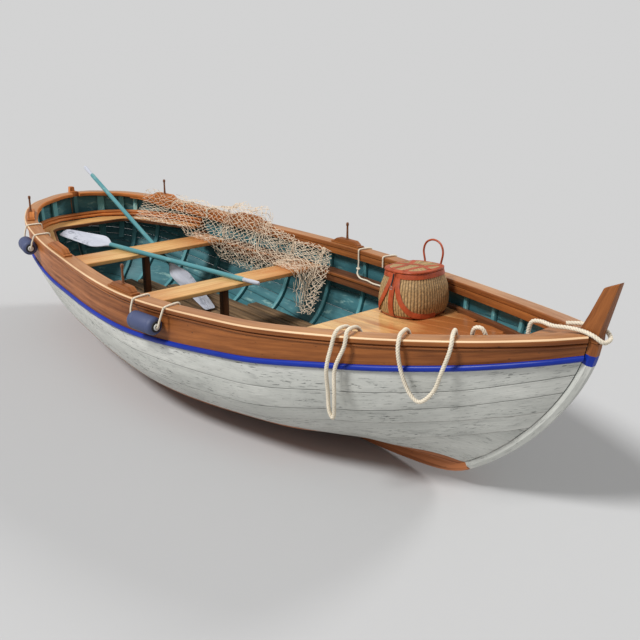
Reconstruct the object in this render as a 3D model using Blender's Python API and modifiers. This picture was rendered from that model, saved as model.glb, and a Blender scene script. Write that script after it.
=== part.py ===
"""Fishing boat: an open, double-ended wooden rowing boat with its oars, fenders, net and creel.

Frame: +X towards the bow, +Y to port, +Z up, metres. The origin is on the centreline at the waterline.
"""

import bpy
import bmesh
from math import cos, pi, radians, sin, sqrt
from mathutils import Matrix, Vector

# ---------------------------------------------------------------- driving dimensions
GAP = 0.0005                # clearance between pieces that touch
SEAM_TRIM = 0.0005          # share of the girth taken off each edge of a plank
PLANK = 0.014               # planking thickness
BACKBONE_HALF = 0.0285      # half thickness of keel, stem and sternpost outside the rabbet
RABBET_HALF = 0.030         # half breadth at which the planking starts
RABBET_INNER_HALF = RABBET_HALF - PLANK - 0.0012    # half thickness inside the rabbet
STEM_FACE = 0.040           # stem in front of the rabbet
STEM_BACK = 0.048           # stem behind the rabbet
POST_FACE = 0.035           # sternpost behind the rabbet
KEEL_INNER = 0.012          # keel above the rabbet
POST_HEAD = (-0.036, 0.044, 0.072)      # sternpost's head: outer and inner face from its end, height
# The stem's head rakes forward above the gunwale: from the end of the sheer, front and back face
# along the boat, then the heights of their corners and half its thickness
STEM_HEAD = (
    (0.040, -0.048, GAP, GAP, 0.0284), (0.041, -0.046, 0.037, 0.042, 0.0284),
    (0.056, -0.028, 0.092, 0.082, 0.026), (0.104, 0.034, 0.266, 0.234, 0.017),
)

RIB_MOULDED = 0.022
RIB_SIDED = 0.030
RIB_HEAD_GAP = 0.006        # from the heads of the ribs to the cap
RIB_OUT = PLANK + 0.0016    # depth of the ribs' outer face below the skin
RIB_IN = RIB_OUT + RIB_MOULDED

CAP_THICK = 0.029
CAP_GAP = 0.0009            # over the planking
CAP_OVERHANG = 0.018
CAP_WIDTH = 0.090
INWALE_DEPTH = 0.040
INWALE_OUT = RIB_IN + 0.001
INWALE_SEAT = 0.003
INWALE_IN = CAP_WIDTH - CAP_OVERHANG - 0.002

BAND_HALF_HEIGHT = 0.015
BAND_DEPTH = 0.014

BREASTHOOK = (2.195, 2.365)

LEDGE_DROP = 0.150          # ledge top below the top of the planking
LEDGE_DEPTH = 0.065
LEDGE_WIDTH = 0.100
LEDGE_RANGE = (-1.49, 0.822)

THWART_THICK = 0.028
# name, aft edge x, forward edge x, top z, x of the post below
THWARTS = (
    ("aft", -1.443, -1.185, 0.385, -1.25),
    ("middle", -0.397, -0.185, 0.360, -0.24),
)
POST_SIDE = 0.045

BENCH_TOP = 0.450
BENCH_THICK = 0.022
BENCH_INNER_X = -2.11
BENCH_INNER_HALF = 0.35
BENCH_CORNER = 0.12
BENCH_ARM = 0.135

DECK_DROP = 0.140
DECK_THICK = 0.018
DECK_RANGE = (0.83, 2.16)
DECK_TRIM = (0.026, 0.024)  # width and height of the raised edge

FLOOR_TOP = 0.010
FLOOR_BOARD = 0.016
FLOOR_HALF = 0.60
FLOOR_RANGE = (-1.86, 0.80)
FLOOR_CLEAR = 0.006         # from the bottom boards to the ribs
SLAT_WIDTH = 0.088
SLAT_PITCH = 0.100
BEARER_SIDE = 0.022
BEARERS = (-1.48, -0.75, 0.02, 0.70)
HOG_HEIGHT = 0.034
# x, half width of the hog on the keel
HOG = ((-1.985, 0.012), (-1.55, 0.045), (-1.0, 0.045), (-0.4, 0.045), (0.3, 0.045), (0.9, 0.045),
       (1.25, 0.012), (1.69, 0.012))

# Offsets of the hull, one row a frame. Each frame stands in its own upright plane, from its foot
# on the rabbet (foot_x, foot_z) to the top of the planking (x, half_breadth, sheer_z), and is a
# superellipse of two powers: bottom_power flattens the floor, side_power stands the side up.
# x, half_breadth, sheer_z, foot_x, foot_z, bottom_power, side_power
OFFSETS = (
    (-2.41, 0.030, 0.628, -2.05, -0.133, 1.30, 2.20),
    (-2.39, 0.133, 0.626, -2.04, -0.134, 1.30, 2.20),
    (-2.34, 0.232, 0.621, -2.02, -0.135, 1.35, 2.25),
    (-2.24, 0.385, 0.612, -1.97, -0.139, 1.40, 2.30),
    (-2.05, 0.525, 0.595, -1.84, -0.146, 1.50, 2.40),
    (-1.70, 0.662, 0.567, -1.58, -0.155, 1.70, 2.50),
    (-1.00, 0.779, 0.527, -1.00, -0.164, 2.70, 2.65),
    (0.00, 0.864, 0.509, 0.00, -0.165, 3.60, 2.80),
    (0.90, 0.743, 0.537, 0.88, -0.158, 2.10, 3.20),
    (1.50, 0.549, 0.586, 1.33, -0.141, 1.10, 2.95),
    (2.00, 0.322, 0.648, 1.60, -0.116, 1.28, 1.70),
    (2.30, 0.142, 0.696, 1.72, -0.104, 1.28, 1.55),
    (2.43, 0.035, 0.720, 1.76, -0.100, 1.21, 1.55),
)
# Where each plank seam lies on a frame, as a share of the girth from the keel to the sheer.
# x, garboard, bottom, bilge, lower, middle, upper, band
SEAMS = (
    (-2.41, 0.25, 0.50, 0.589, 0.648, 0.704, 0.760, 0.818),
    (-1.60, 0.26, 0.52, 0.587, 0.643, 0.698, 0.754, 0.808),
    (-0.80, 0.26, 0.50, 0.571, 0.625, 0.683, 0.764, 0.829),
    (0.20, 0.22, 0.41, 0.469, 0.576, 0.663, 0.769, 0.857),
    (1.20, 0.11, 0.20, 0.344, 0.531, 0.620, 0.739, 0.872),
    (1.90, 0.08, 0.16, 0.371, 0.528, 0.633, 0.746, 0.885),
    (2.43, 0.04, 0.08, 0.511, 0.634, 0.753, 0.851, 0.932),
)
STRAKES = ("garboard", "bottom", "bilge", "lower", "middle", "upper", "top", "sheer")
STRAKE_STEPS = (2, 3, 3, 2, 1, 1, 1, 2)     # flats across each plank
RIB_ROWS = (0, 2, 4, 5, 7, 8, 9, 10, 12, 15)   # folds of the planking that the ribs follow
# bottom of the keel: x, z
KEEL_BOTTOM = (
    (-2.20, -0.175), (-2.00, -0.200), (-1.60, -0.218), (-0.80, -0.226), (0.60, -0.226),
    (1.20, -0.214), (1.45, -0.196), (1.62, -0.176), (1.76, -0.146),
)
SEAT_GAP = 0.0007           # from the ribs to what is fitted against them
FRAMES = 26                 # lofted spans from stern to bow
RIBS = (-2.17, -1.98, -1.66, -1.31, -0.93, -0.56, -0.15, 0.21, 0.60, 0.95, 1.27, 1.55, 1.82, 2.06)

# The thole blocks on each cap: name, x of the middle, length, has a pin
BLOCKS = (("aft", -1.915, 0.23, True), ("middle", -1.003, 0.35, False), ("forward", 0.017, 0.28, True))
PIN_RADIUS = 0.008
PIN_HEIGHT = 0.115

# The fenders on each side: name, x of the middle, length of the body
FENDERS = (("aft", -1.550, 0.195), ("forward", 0.334, 0.205))
FENDER_RADIUS = 0.050
FENDER_DROP = 0.100         # axis below the top of the cap
FENDER_SEAT = 0.0002        # more than the gap, for the flats of the planking
FENDER_ROPE = 0.0065
FENDER_ROPE_SPAN = 0.030    # from a fender's end to where its rope crosses the cap

OAR_LENGTH = 2.04
OAR_SHAFT = 0.0165
OAR_BLADE = (0.575, 0.152, 0.010)    # length, width, half thickness
# where each oar's blade ends, the direction of its shaft and its roll
UPPER_OAR = ((-2.060, -0.2632, 0.4242), (2.115, 0.442, -0.0529), 0.35)
LEANING_OAR = ((-0.735, 0.210, 0.0265), (-1.0, 0.0068, 0.4202), 0.0)

CREEL_AT = (1.036, 0.420)
CREEL_HEIGHT = 0.252
CREEL_REACH = 0.15          # half the length of deck that it stands on
CREEL_POWER = 2.7           # of the superellipse that it is in plan
# share of the height, half width of the creel's wall
CREEL_WALL = (
    (0.00, 0.150), (0.10, 0.168), (0.32, 0.178), (0.62, 0.170), (0.90, 0.149), (1.00, 0.144),
)
CREEL_SHELL = 0.007
LID_THICK = 0.016
LID_LIP = 0.004
LID_BEVEL = 0.024
HANDLE_RADIUS = 0.0045
HANDLE_RISE = 0.135         # over the rim
HANDLE_HALF = 0.060         # half the width between its legs
HANDLE_BACK = 0.023         # from the lid's hinge back to the handle
HANDLE_DROP = 0.045         # from the rim down to its feet
HANDLE_SHIFT = 0.018        # aft of the creel's middle
HANDLE_FOOT_IN = 0.0024      # the creel's back rounds away from the middle

MOORING_RADIUS = 0.0105
MOORING_SPACING = 0.085
MOORING_TURN = radians(32)


# ---------------------------------------------------------------- helpers
def column(table, index, x):
    """Column `index` of a table read at x, through a cubic that never overshoots."""
    xs = [row[0] for row in table]
    ys = [row[index] for row in table]
    x = min(max(x, xs[0]), xs[-1])
    steps = [b - a for a, b in zip(xs, xs[1:])]
    slopes = [(b - a) / h for a, b, h in zip(ys, ys[1:], steps)]
    ends = [slopes[0]]
    for a, b in zip(slopes, slopes[1:]):
        ends.append(0.0 if a * b <= 0 else 2 * a * b / (a + b))
    ends.append(slopes[-1])
    i = max(k for k in range(len(steps)) if xs[k] <= x)
    h = steps[i]
    t = (x - xs[i]) / h
    return ((1 + 2 * t) * (1 - t) ** 2 * ys[i] + t * (1 - t) ** 2 * h * ends[i]
            + t * t * (3 - 2 * t) * ys[i + 1] + t * t * (t - 1) * h * ends[i + 1])


def material(name, colour, roughness=0.6, metallic=0.0):
    found = bpy.data.materials.get(name)
    if found:
        return found
    made = bpy.data.materials.new(name)
    made.use_nodes = True
    shader = made.node_tree.nodes["Principled BSDF"]
    shader.inputs["Base Color"].default_value = (*colour, 1.0)
    shader.inputs["Roughness"].default_value = roughness
    shader.inputs["Metallic"].default_value = metallic
    return made


def collection(name):
    made = bpy.data.collections.new(name)
    bpy.context.scene.collection.children.link(made)
    return made


def keep(obj, where, look):
    """File an object under its collection and give it its material."""
    for owner in list(obj.users_collection):
        owner.objects.unlink(obj)
    where.objects.link(obj)
    if look:
        obj.data.materials.clear()
        obj.data.materials.append(look)
    return obj


def mesh_object(name, bm, look, smooth=None):
    bmesh.ops.recalc_face_normals(bm, faces=bm.faces)
    # the lofted quads are folded here, so that what is fitted against them meets real faces
    bmesh.ops.triangulate(bm, faces=bm.faces)
    mesh = bpy.data.meshes.new(name)
    bm.to_mesh(mesh)
    bm.free()
    if smooth is not None:
        mesh.shade_smooth()
        mesh.set_sharp_from_angle(angle=radians(smooth))
    obj = bpy.data.objects.new(name, mesh)
    return keep(obj, BOAT, look)


def add_loft(bm, rings):
    """A closed solid through rings of equal length, with a flat cap at each end."""
    loops = [[bm.verts.new(p) for p in ring] for ring in rings]
    count = len(loops[0])
    for a, b in zip(loops, loops[1:]):
        for i in range(count):
            j = (i + 1) % count
            bm.faces.new((a[i], a[j], b[j], b[i]))
    bm.faces.new(loops[0])
    bm.faces.new(list(reversed(loops[-1])))


def loft(name, rings, look, smooth=None):
    bm = bmesh.new()
    add_loft(bm, rings)
    return mesh_object(name, bm, look, smooth)


def add_box(bm, low, high):
    size = [b - a for a, b in zip(low, high)]
    middle = [(a + b) / 2 for a, b in zip(low, high)]
    matrix = Matrix.Translation(middle) @ Matrix.Diagonal((*size, 1.0))
    bmesh.ops.create_cube(bm, size=1.0, matrix=matrix)


def box(name, low, high, look, bevel=0.0):
    bm = bmesh.new()
    add_box(bm, low, high)
    obj = mesh_object(name, bm, look)
    if bevel:
        add_bevel(obj, bevel)
    return obj


def add_bevel(obj, width):
    mod = obj.modifiers.new("eased edges", "BEVEL")
    mod.width = width
    mod.segments = 1
    mod.limit_method = "ANGLE"
    mod.angle_limit = radians(40)


def cut(obj, cutter):
    cutter.hide_render = True
    cutter.display_type = "WIRE"
    keep(cutter, CUTTERS, None)
    mod = obj.modifiers.new("notch", "BOOLEAN")
    mod.operation = "DIFFERENCE"
    mod.object = cutter


def set_origin(obj, point):
    """Move an object's origin, such as to its joint's axis, and leave its shape where it is."""
    obj.data.transform(Matrix.Translation(-point))
    obj.location = point
    return obj


def join_all(name, pieces, look):
    """One object that is the union of several overlapping solids."""
    first, others = pieces[0], pieces[1:]
    for other in others:
        mod = first.modifiers.new("joined", "BOOLEAN")
        mod.operation = "UNION"
        mod.object = other
    bpy.context.view_layer.update()
    evaluated = first.evaluated_get(bpy.context.evaluated_depsgraph_get())
    mesh = bpy.data.meshes.new_from_object(evaluated)
    mesh.name = name
    obj = bpy.data.objects.new(name, mesh)
    obj.matrix_world = first.matrix_world.copy()
    for piece in pieces:
        bpy.data.objects.remove(piece, do_unlink=True)
    return keep(obj, BOAT, look)


def smooth_route(points, spacing, turn=radians(180)):
    """Points along a smooth curve through the given ones, closer together where it turns more."""
    pts = [Vector(p) for p in points]
    pts = [2 * pts[0] - pts[1]] + pts + [2 * pts[-1] - pts[-2]]
    fine = []
    for a, b, c, d in zip(pts, pts[1:], pts[2:], pts[3:]):
        for k in range(16):
            t = k / 16
            fine.append(0.5 * (2 * b + (c - a) * t + (2 * a - 5 * b + 4 * c - d) * t * t
                               + (3 * b - a - 3 * c + d) * t ** 3))
    fine.append(pts[-2])
    out, walked, turned = [fine[0]], 0.0, 0.0
    for a, b, c in zip(fine, fine[1:], fine[2:]):
        walked += (b - a).length
        turned += (b - a).angle(c - b)
        if walked >= spacing or turned >= turn:
            out.append(b)
            walked, turned = 0.0, 0.0
    if walked < spacing / 3 and len(out) > 2:
        out.pop()
    out.append(fine[-1])
    return out


def tube(name, points, radius, look, resolution=2):
    curve = bpy.data.curves.new(name, "CURVE")
    curve.dimensions = "3D"
    curve.bevel_depth = radius
    curve.bevel_resolution = resolution
    curve.use_fill_caps = True
    spline = curve.splines.new("POLY")
    spline.points.add(len(points) - 1)
    for point, place in zip(spline.points, points):
        point.co = (*place, 1.0)
    obj = bpy.data.objects.new(name, curve)
    return keep(obj, BOAT, look)


def tube_mesh(points, radius, look, resolution=1):
    """The same tube as a closed mesh, ready to be joined to others."""
    curve = tube("guide", points, radius, look, resolution)
    bpy.context.view_layer.update()
    mesh = bpy.data.meshes.new_from_object(curve.evaluated_get(bpy.context.evaluated_depsgraph_get()))
    bm = bmesh.new()
    bm.from_mesh(mesh)
    bmesh.ops.remove_doubles(bm, verts=bm.verts, dist=0.00005)
    bpy.data.objects.remove(curve, do_unlink=True)
    return mesh_object("tube", bm, look)


def flat_board(name, outline, z_low, z_high, look):
    """A level board of the given outline in plan."""
    curve = bpy.data.curves.new(name, "CURVE")
    curve.dimensions = "2D"
    curve.fill_mode = "BOTH"
    curve.extrude = (z_high - z_low) / 2
    spline = curve.splines.new("POLY")
    spline.points.add(len(outline) - 1)
    for point, (x, y) in zip(spline.points, outline):
        point.co = (x, y, 0.0, 1.0)
    spline.use_cyclic_u = True
    obj = bpy.data.objects.new(name, curve)
    obj.location.z = (z_low + z_high) / 2
    return keep(obj, BOAT, look)


# ---------------------------------------------------------------- the hull's surface
def frame(x):
    """The frame whose head is at x: foot, head and powers."""
    values = [column(OFFSETS, k, x) for k in range(1, 7)]
    half, sheer, foot_x, foot_z, bottom, side = values
    return half, sheer, foot_x, foot_z, bottom, side


def frame_points(x, count=48):
    half, sheer, foot_x, foot_z, bottom, side = frame(x)
    out = []
    for k in range(count + 1):
        angle = k / count * pi / 2
        rise = cos(angle) ** (2 / side) if k < count else 0.0
        reach = sin(angle) ** (2 / bottom)
        out.append(Vector((foot_x + (x - foot_x) * reach,
                           RABBET_HALF + (half - RABBET_HALF) * reach,
                           sheer - (sheer - foot_z) * rise)))
    return out


def at_share(points, share):
    lengths = [0.0]
    for a, b in zip(points, points[1:]):
        lengths.append(lengths[-1] + (b - a).length)
    goal = min(max(share, 0.0), 1.0) * lengths[-1]
    for a, b, la, lb in zip(points, points[1:], lengths, lengths[1:]):
        if goal <= lb:
            return a.lerp(b, (goal - la) / max(lb - la, 1e-9))
    return points[-1].copy()


CACHE = {}


def skin(x, share):
    """Point of the port outer skin on the frame at x, at a share of its girth."""
    key = round(x, 5)
    if key not in CACHE:
        CACHE[key] = frame_points(x)
    return at_share(CACHE[key], share)


def skin_normal(x, share):
    low, high = OFFSETS[0][0], OFFSETS[-1][0]
    a, b = max(low, x - 0.01), min(high, x + 0.01)
    along = skin(b, share) - skin(a, share)
    up = skin(x, min(1.0, share + 0.02)) - skin(x, max(0.0, share - 0.02))
    return up.cross(along).normalized()


def depth_point(x, share, depth):
    """Point at a depth below the port skin."""
    return skin(x, share) - skin_normal(x, share) * depth


def stations():
    """Heads of the lofted frames, closer together towards stem and stern."""
    low, high = OFFSETS[0][0], OFFSETS[-1][0]
    middle, reach = (low + high) / 2, (high - low) / 2
    return [middle - reach * cos(pi * k / FRAMES) for k in range(FRAMES + 1)]


HEADS = stations()


def plank_shares(x):
    """Every girth share at which the planking has an edge or a fold, plank by plank."""
    seams = [0.0] + [column(SEAMS, k, x) for k in range(1, 8)] + [1.0]
    rows = []
    for low, high, steps in zip(seams, seams[1:], STRAKE_STEPS):
        rows.append([low + (high - low) * k / steps for k in range(steps + 1)])
    return rows


def skin_breadth(x, z):
    """Half breadth of the skin at a real x and height."""
    low, high = OFFSETS[0][0], OFFSETS[-1][0]

    def point(head):
        half, sheer, foot_x, foot_z, bottom, side = frame(head)
        rise = min(max((sheer - z) / (sheer - foot_z), 0.0), 1.0)
        reach = (1 - rise ** side) ** (1 / bottom)
        return foot_x + (head - foot_x) * reach, RABBET_HALF + (half - RABBET_HALF) * reach

    a, b = low, high
    for _ in range(40):
        middle = (a + b) / 2
        if point(middle)[0] < x:
            a = middle
        else:
            b = middle
    return point((a + b) / 2)[1]


def breadth_at(x, z, depth=0.0):
    """Half breadth at a real x and height, a depth inside the skin."""
    half = skin_breadth(x, z)
    if depth == 0.0:
        return half
    step = 0.01
    along = (skin_breadth(x + step, z) - skin_breadth(x - step, z)) / (2 * step)
    up = (skin_breadth(x, z + step) - skin_breadth(x, z - step)) / (2 * step)
    return half - depth * sqrt(1 + along * along + up * up)


FACETS = {}


def facet_point(x, row, depth):
    """Point at a depth below the lofted, faceted planking, on a fold line."""
    k = max(i for i in range(FRAMES) if HEADS[i] <= x)
    for head in (HEADS[k], HEADS[k + 1]):
        if (head, row, depth) not in FACETS:
            shares = [s for shares in plank_shares(head) for s in shares[:-1]] + [1.0]
            FACETS[head, row, depth] = depth_point(head, shares[row], depth)
    t = (x - HEADS[k]) / (HEADS[k + 1] - HEADS[k])
    return FACETS[HEADS[k], row, depth].lerp(FACETS[HEADS[k + 1], row, depth], t)


def faceted_breadth(x, z, rows, depth):
    """Half breadth at a real x and height of a faceted surface, at a depth below the skin."""
    a, b = OFFSETS[0][0], OFFSETS[-1][0]
    for _ in range(26):
        head = (a + b) / 2
        section = [facet_point(head, row, depth) for row in rows]
        here = section[-1]
        for low, high in zip(section, section[1:]):
            if low.z <= z <= high.z:
                here = low.lerp(high, (z - low.z) / (high.z - low.z))
        if here.x < x:
            a = head
        else:
            b = head
    return here.y


def fitted_breadth(x, z):
    """Half breadth between the ribs at a real x and height: what is fitted there ends at it."""
    return faceted_breadth(x, z, RIB_ROWS, RIB_IN) - SEAT_GAP


def sheer_at(x):
    return column(OFFSETS, 2, x)


def mirrored(points, side):
    return [Vector((p.x, p.y * side, p.z)) for p in points]


# ---------------------------------------------------------------- hull pieces
def build_planking(side, suffix):
    for index, strake in enumerate(STRAKES):
        rings = []
        for x in HEADS:
            shares = plank_shares(x)[index]
            shares = [shares[0] + SEAM_TRIM] + shares[1:-1] + [shares[-1] - SEAM_TRIM]
            outer = [skin(x, s) for s in shares]
            inner = [depth_point(x, s, PLANK) for s in reversed(shares)]
            rings.append(mirrored(outer + inner, side))
        look = LOOKS["varnish"] if strake == "sheer" else LOOKS["white"]
        if strake in ("garboard", "bottom"):
            look = LOOKS["bottom"]
        loft(f"{strake}_strake_{suffix}", rings, look, 30)


def rabbet_normal(a, b):
    """Outward normal, in the centreline plane, of a rabbet running from a to b."""
    run = (b - a).normalized()
    return Vector((run.z, 0.0, -run.x))


def end_rabbet(x, shares):
    """Rabbet points of an end frame with their outward normals."""
    out = []
    for share in shares:
        a, b = skin(x, max(0.0, share - 0.03)), skin(x, min(1.0, share + 0.03))
        normal = rabbet_normal(a, b)
        if normal.x * x < 0:
            normal = -normal
        point = skin(x, share)
        out.append((Vector((point.x, 0.0, point.z)), normal))
    return out


def backbone_ring(outer, rabbet, inner, narrow):
    wide = BACKBONE_HALF
    side = [(outer, wide), (rabbet, wide), (rabbet, narrow), (inner, narrow)]
    return ([Vector((p.x, -half, p.z)) for p, half in side]
            + [Vector((p.x, half, p.z)) for p, half in reversed(side)])


def build_backbone():
    bow_x, stern_x = OFFSETS[-1][0], OFFSETS[0][0]
    bow_folds = [s for row in plank_shares(bow_x) for s in row[:-1]] + [1.0]
    stern_folds = [s for row in plank_shares(stern_x) for s in row[:-1]] + [1.0]
    stem_foot, post_foot = 6, 4
    bow_shares = bow_folds[stem_foot:]
    rings = []
    for point, normal in end_rabbet(bow_x, bow_shares):
        rings.append((point + normal * STEM_FACE, point + normal * GAP, point - normal * STEM_BACK))
    stem = [backbone_ring(*ring, RABBET_INNER_HALF) for ring in rings]
    sheer = rings[-1][1].z
    for front, back, front_rise, back_rise, half in STEM_HEAD:
        outer = Vector((bow_x + front, 0, sheer + front_rise))
        inner = Vector((bow_x + back, 0, sheer + back_rise))
        stem.append(backbone_ring(outer, outer.lerp(inner, 0.5), inner, half))
    loft("stem", stem, LOOKS["varnish"], 25)

    post_shares = list(reversed(stern_folds[post_foot:]))
    rings = []
    for point, normal in end_rabbet(stern_x, post_shares):
        rings.append((point + normal * POST_FACE, point + normal * GAP, point - normal * STEM_BACK))
    post = [backbone_ring(*ring, RABBET_INNER_HALF) for ring in rings]
    top = rings[0][1].z
    crown = []
    face, back, rise = POST_HEAD
    for z in (top + rise, top + GAP):
        outer, inner = Vector((stern_x + face, 0, z)), Vector((stern_x + back, 0, z))
        crown.append(backbone_ring(outer, outer.lerp(inner, 0.5), inner, BACKBONE_HALF - 0.0001))
    loft("sternpost", crown + post, LOOKS["varnish"], 25)

    keel = []
    scarf_gap = 0.0015
    below = [stern_folds[post_foot] - scarf_gap, *reversed(stern_folds[:post_foot])]
    for point, normal in end_rabbet(stern_x, below):
        keel.append((point + normal * POST_FACE, point + normal * GAP, point - normal * KEEL_INNER))
    first = keel[-1][1].x
    last = column(OFFSETS, 3, bow_x)
    count = 18
    for k in range(1, count):
        head_x = stern_x + (bow_x - stern_x) * k / count
        foot_x, foot_z = column(OFFSETS, 3, head_x), column(OFFSETS, 4, head_x)
        if first + 0.04 < foot_x < last - 0.03:
            keel.append((Vector((foot_x, 0, column(KEEL_BOTTOM, 1, foot_x))),
                         Vector((foot_x, 0, foot_z - GAP)), Vector((foot_x, 0, foot_z + KEEL_INNER))))
    for point, normal in end_rabbet(bow_x, [*bow_folds[:stem_foot], bow_folds[stem_foot] - scarf_gap]):
        keel.append((point + normal * STEM_FACE, point + normal * GAP, point - normal * KEEL_INNER))
    loft("keel", [backbone_ring(*ring, RABBET_INNER_HALF) for ring in keel], LOOKS["bottom"], 25)


def hog_top(x):
    """Height of the hog, which is straight between its stations."""
    stands = [row[0] for row in HOG]
    k = max(i for i in range(len(stands) - 1) if stands[i] <= x)
    feet = [(row[3], row[4]) for row in OFFSETS]
    a, b = column(feet, 1, stands[k]), column(feet, 1, stands[k + 1])
    foot = a + (b - a) * (x - stands[k]) / (stands[k + 1] - stands[k])
    return foot + RIB_OUT + 0.002 + HOG_HEIGHT


def build_ribs():
    """The bent ribs and the hog on the keel that they are fastened to, as one piece."""
    top_row = RIB_ROWS[-1]
    pieces = []
    for number, x in enumerate(RIBS):
        rings = []
        path = [(row, -1) for row in reversed(RIB_ROWS)] + [(row, 1) for row in RIB_ROWS]
        for row, side in path:
            ring = []
            for dx, depth in ((-1, RIB_OUT), (1, RIB_OUT), (1, RIB_IN), (-1, RIB_IN)):
                p = facet_point(x + dx * RIB_SIDED / 2, row, depth)
                ring.append(Vector((p.x, max(p.y, RIB_SIDED / 2) * side, p.z)))
            if row == top_row:
                for p in ring:
                    p.z -= RIB_HEAD_GAP
            rings.append(ring)
        pieces.append(loft(f"rib_{number}", rings, LOOKS["teal"]))
    hog = []
    for x, half in HOG:
        top = hog_top(x)
        hog.append([Vector((x, -half, top - HOG_HEIGHT)), Vector((x, half, top - HOG_HEIGHT)),
                    Vector((x, half, top)), Vector((x, -half, top))])
    pieces.insert(0, loft("hog", hog, LOOKS["teal"]))
    join_all("ribs", pieces, LOOKS["teal"])


def plan_offset(x, inward):
    """Point of the sheer line in plan, moved square to it; never nearer the middle than the stem."""
    low, high = OFFSETS[0][0], OFFSETS[-1][0]
    a, b = max(low, x - 0.012), min(high, x + 0.012)
    run = Vector((b - a, column(OFFSETS, 1, b) - column(OFFSETS, 1, a))).normalized()
    normal = Vector((-run.y, run.x))
    return x - normal.x * inward, max(column(OFFSETS, 1, x) - normal.y * inward, RABBET_HALF + GAP)


def gunwale_ring(x, outside, inside, z_low, z_high, side):
    ring = []
    for inward, z in ((outside, z_low), (outside, z_high), (inside, z_high), (inside, z_low)):
        px, py = plan_offset(x, inward)
        ring.append(Vector((px, py * side, z)))
    return ring


def inwale_ring(x, z, side):
    ring = []
    inner_x, inner_y = plan_offset(x, INWALE_IN)
    outer_x, outer_y = plan_offset(x, INWALE_OUT)
    top = z + CAP_GAP - GAP
    for height in (z - INWALE_DEPTH, top):
        fitted = min(outer_y, fitted_breadth(outer_x, height - 2 * GAP) - INWALE_SEAT)
        ring.append(Vector((outer_x, fitted * side, height)))
    for height in (top, z - INWALE_DEPTH):
        ring.append(Vector((inner_x, inner_y * side, height)))
    return ring


def build_gunwale(side, suffix):
    cap, inwale = [], []
    for x in HEADS:
        z = sheer_at(x)
        cap.append(gunwale_ring(x, -CAP_OVERHANG, CAP_WIDTH - CAP_OVERHANG,
                                z + CAP_GAP, z + CAP_GAP + CAP_THICK, side))
        if -2.2 < x < 2.2:
            inwale.append(inwale_ring(x, z, side))
    loft(f"gunwale_cap_{suffix}", cap, LOOKS["varnish"])
    loft(f"inwale_{suffix}", inwale, LOOKS["varnish"])


def build_band(side, suffix):
    """The half-round rubbing band along the seam below the sheer strake."""
    rings = []
    for x in HEADS:
        share = column(SEAMS, 7, x)
        normal = skin_normal(x, share)
        up = (skin(x, share + 0.01) - skin(x, share - 0.01)).normalized()
        centre = skin(x, share) + normal * 0.0014
        ring = []
        for k in range(6):
            angle = pi * k / 5 - pi / 2
            ring.append(centre + up * (BAND_HALF_HEIGHT * sin(angle)) + normal * (BAND_DEPTH * cos(angle)))
        rings.append(mirrored(ring, side))
    loft(f"rubbing_band_{suffix}", rings, LOOKS["blue"], 50)


# ---------------------------------------------------------------- inside
def ledge_top(x):
    return sheer_at(x) - LEDGE_DROP


def ledge_outer(x, z):
    return fitted_breadth(x, z)


def build_ledge(side, suffix):
    rings = []
    low, high = LEDGE_RANGE
    count = 12
    for k in range(count + 1):
        x = low + (high - low) * k / count
        top = ledge_top(x)
        bottom = top - LEDGE_DEPTH
        inner = ledge_outer(x, top) - LEDGE_WIDTH
        outline = ((ledge_outer(x, top), top), (inner, top), (inner, bottom),
                   (ledge_outer(x, bottom), bottom))
        rings.append([Vector((x, y * side, z)) for y, z in outline])
    obj = loft(f"side_ledge_{suffix}", rings, LOOKS["varnish"])
    for _, aft, forward, thwart_top, _ in THWARTS:
        bm = bmesh.new()
        low_corner = (aft - GAP, min(0, side), thwart_top - THWART_THICK - GAP)
        high_corner = (forward + GAP, max(0, side), thwart_top + 0.1)
        add_box(bm, low_corner, high_corner)
        cut(obj, mesh_object("thwart_notch", bm, None))


def build_thwarts():
    for name, aft, forward, top, post_x in THWARTS:
        bottom = top - THWART_THICK
        half = [min(ledge_outer(x, top), ledge_outer(x, bottom)) - 0.004 for x in (aft, forward)]
        rings = []
        for x, reach in ((aft, half[0]), (forward, half[1])):
            rings.append([Vector((x, -reach, bottom)), Vector((x, reach, bottom)),
                          Vector((x, reach, top)), Vector((x, -reach, top))])
        obj = loft(f"{name}_thwart", rings, LOOKS["pale_varnish"])
        add_bevel(obj, 0.004)
        side = POST_SIDE / 2
        box(f"{name}_thwart_post", (post_x - side, -side, FLOOR_TOP + GAP),
            (post_x + side, side, bottom - GAP), LOOKS["dark_wood"], 0.003)


def build_bench():
    """The horseshoe seat round the stern."""
    outer = []
    forward = LEDGE_RANGE[0] - 0.003
    low = BENCH_TOP - BENCH_THICK
    for x in (forward, -1.62, -1.76, -1.90, -2.02, -2.12, -2.20, -2.26, -2.295):
        outer.append((x, fitted_breadth(x, low)))
    arm = outer[0][1] - BENCH_ARM
    inner = [(BENCH_INNER_X, 0.0)]
    for k in range(7):
        angle = pi / 2 * k / 6
        inner.append((BENCH_INNER_X + BENCH_CORNER * (1 - cos(angle)),
                      BENCH_INNER_HALF - BENCH_CORNER + BENCH_CORNER * sin(angle)))
    inner.append((forward, arm))
    outline = outer + [(x, -y) for x, y in reversed(outer)]
    outline += [(x, -y) for x, y in reversed(inner)] + [(x, y) for x, y in inner[1:]]
    flat_board("stern_bench", outline, low, BENCH_TOP, LOOKS["pale_varnish"])


def build_foredeck():
    rings = []
    low, high = DECK_RANGE
    width, rise = DECK_TRIM
    count = 8
    for k in range(count + 1):
        x = low + (high - low) * k / count
        top = sheer_at(x) - DECK_DROP
        bottom = top - DECK_THICK
        lower = fitted_breadth(x, bottom)
        upper = min(fitted_breadth(x, top + rise), lower + 0.012)
        side = [(lower, bottom), (upper, top + rise), (upper - width, top + rise), (upper - width, top)]
        outline = side + [(-y, z) for y, z in reversed(side)]
        rings.append([Vector((x, y, z)) for y, z in outline])
    loft("foredeck", rings, LOOKS["varnish"])


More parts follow.
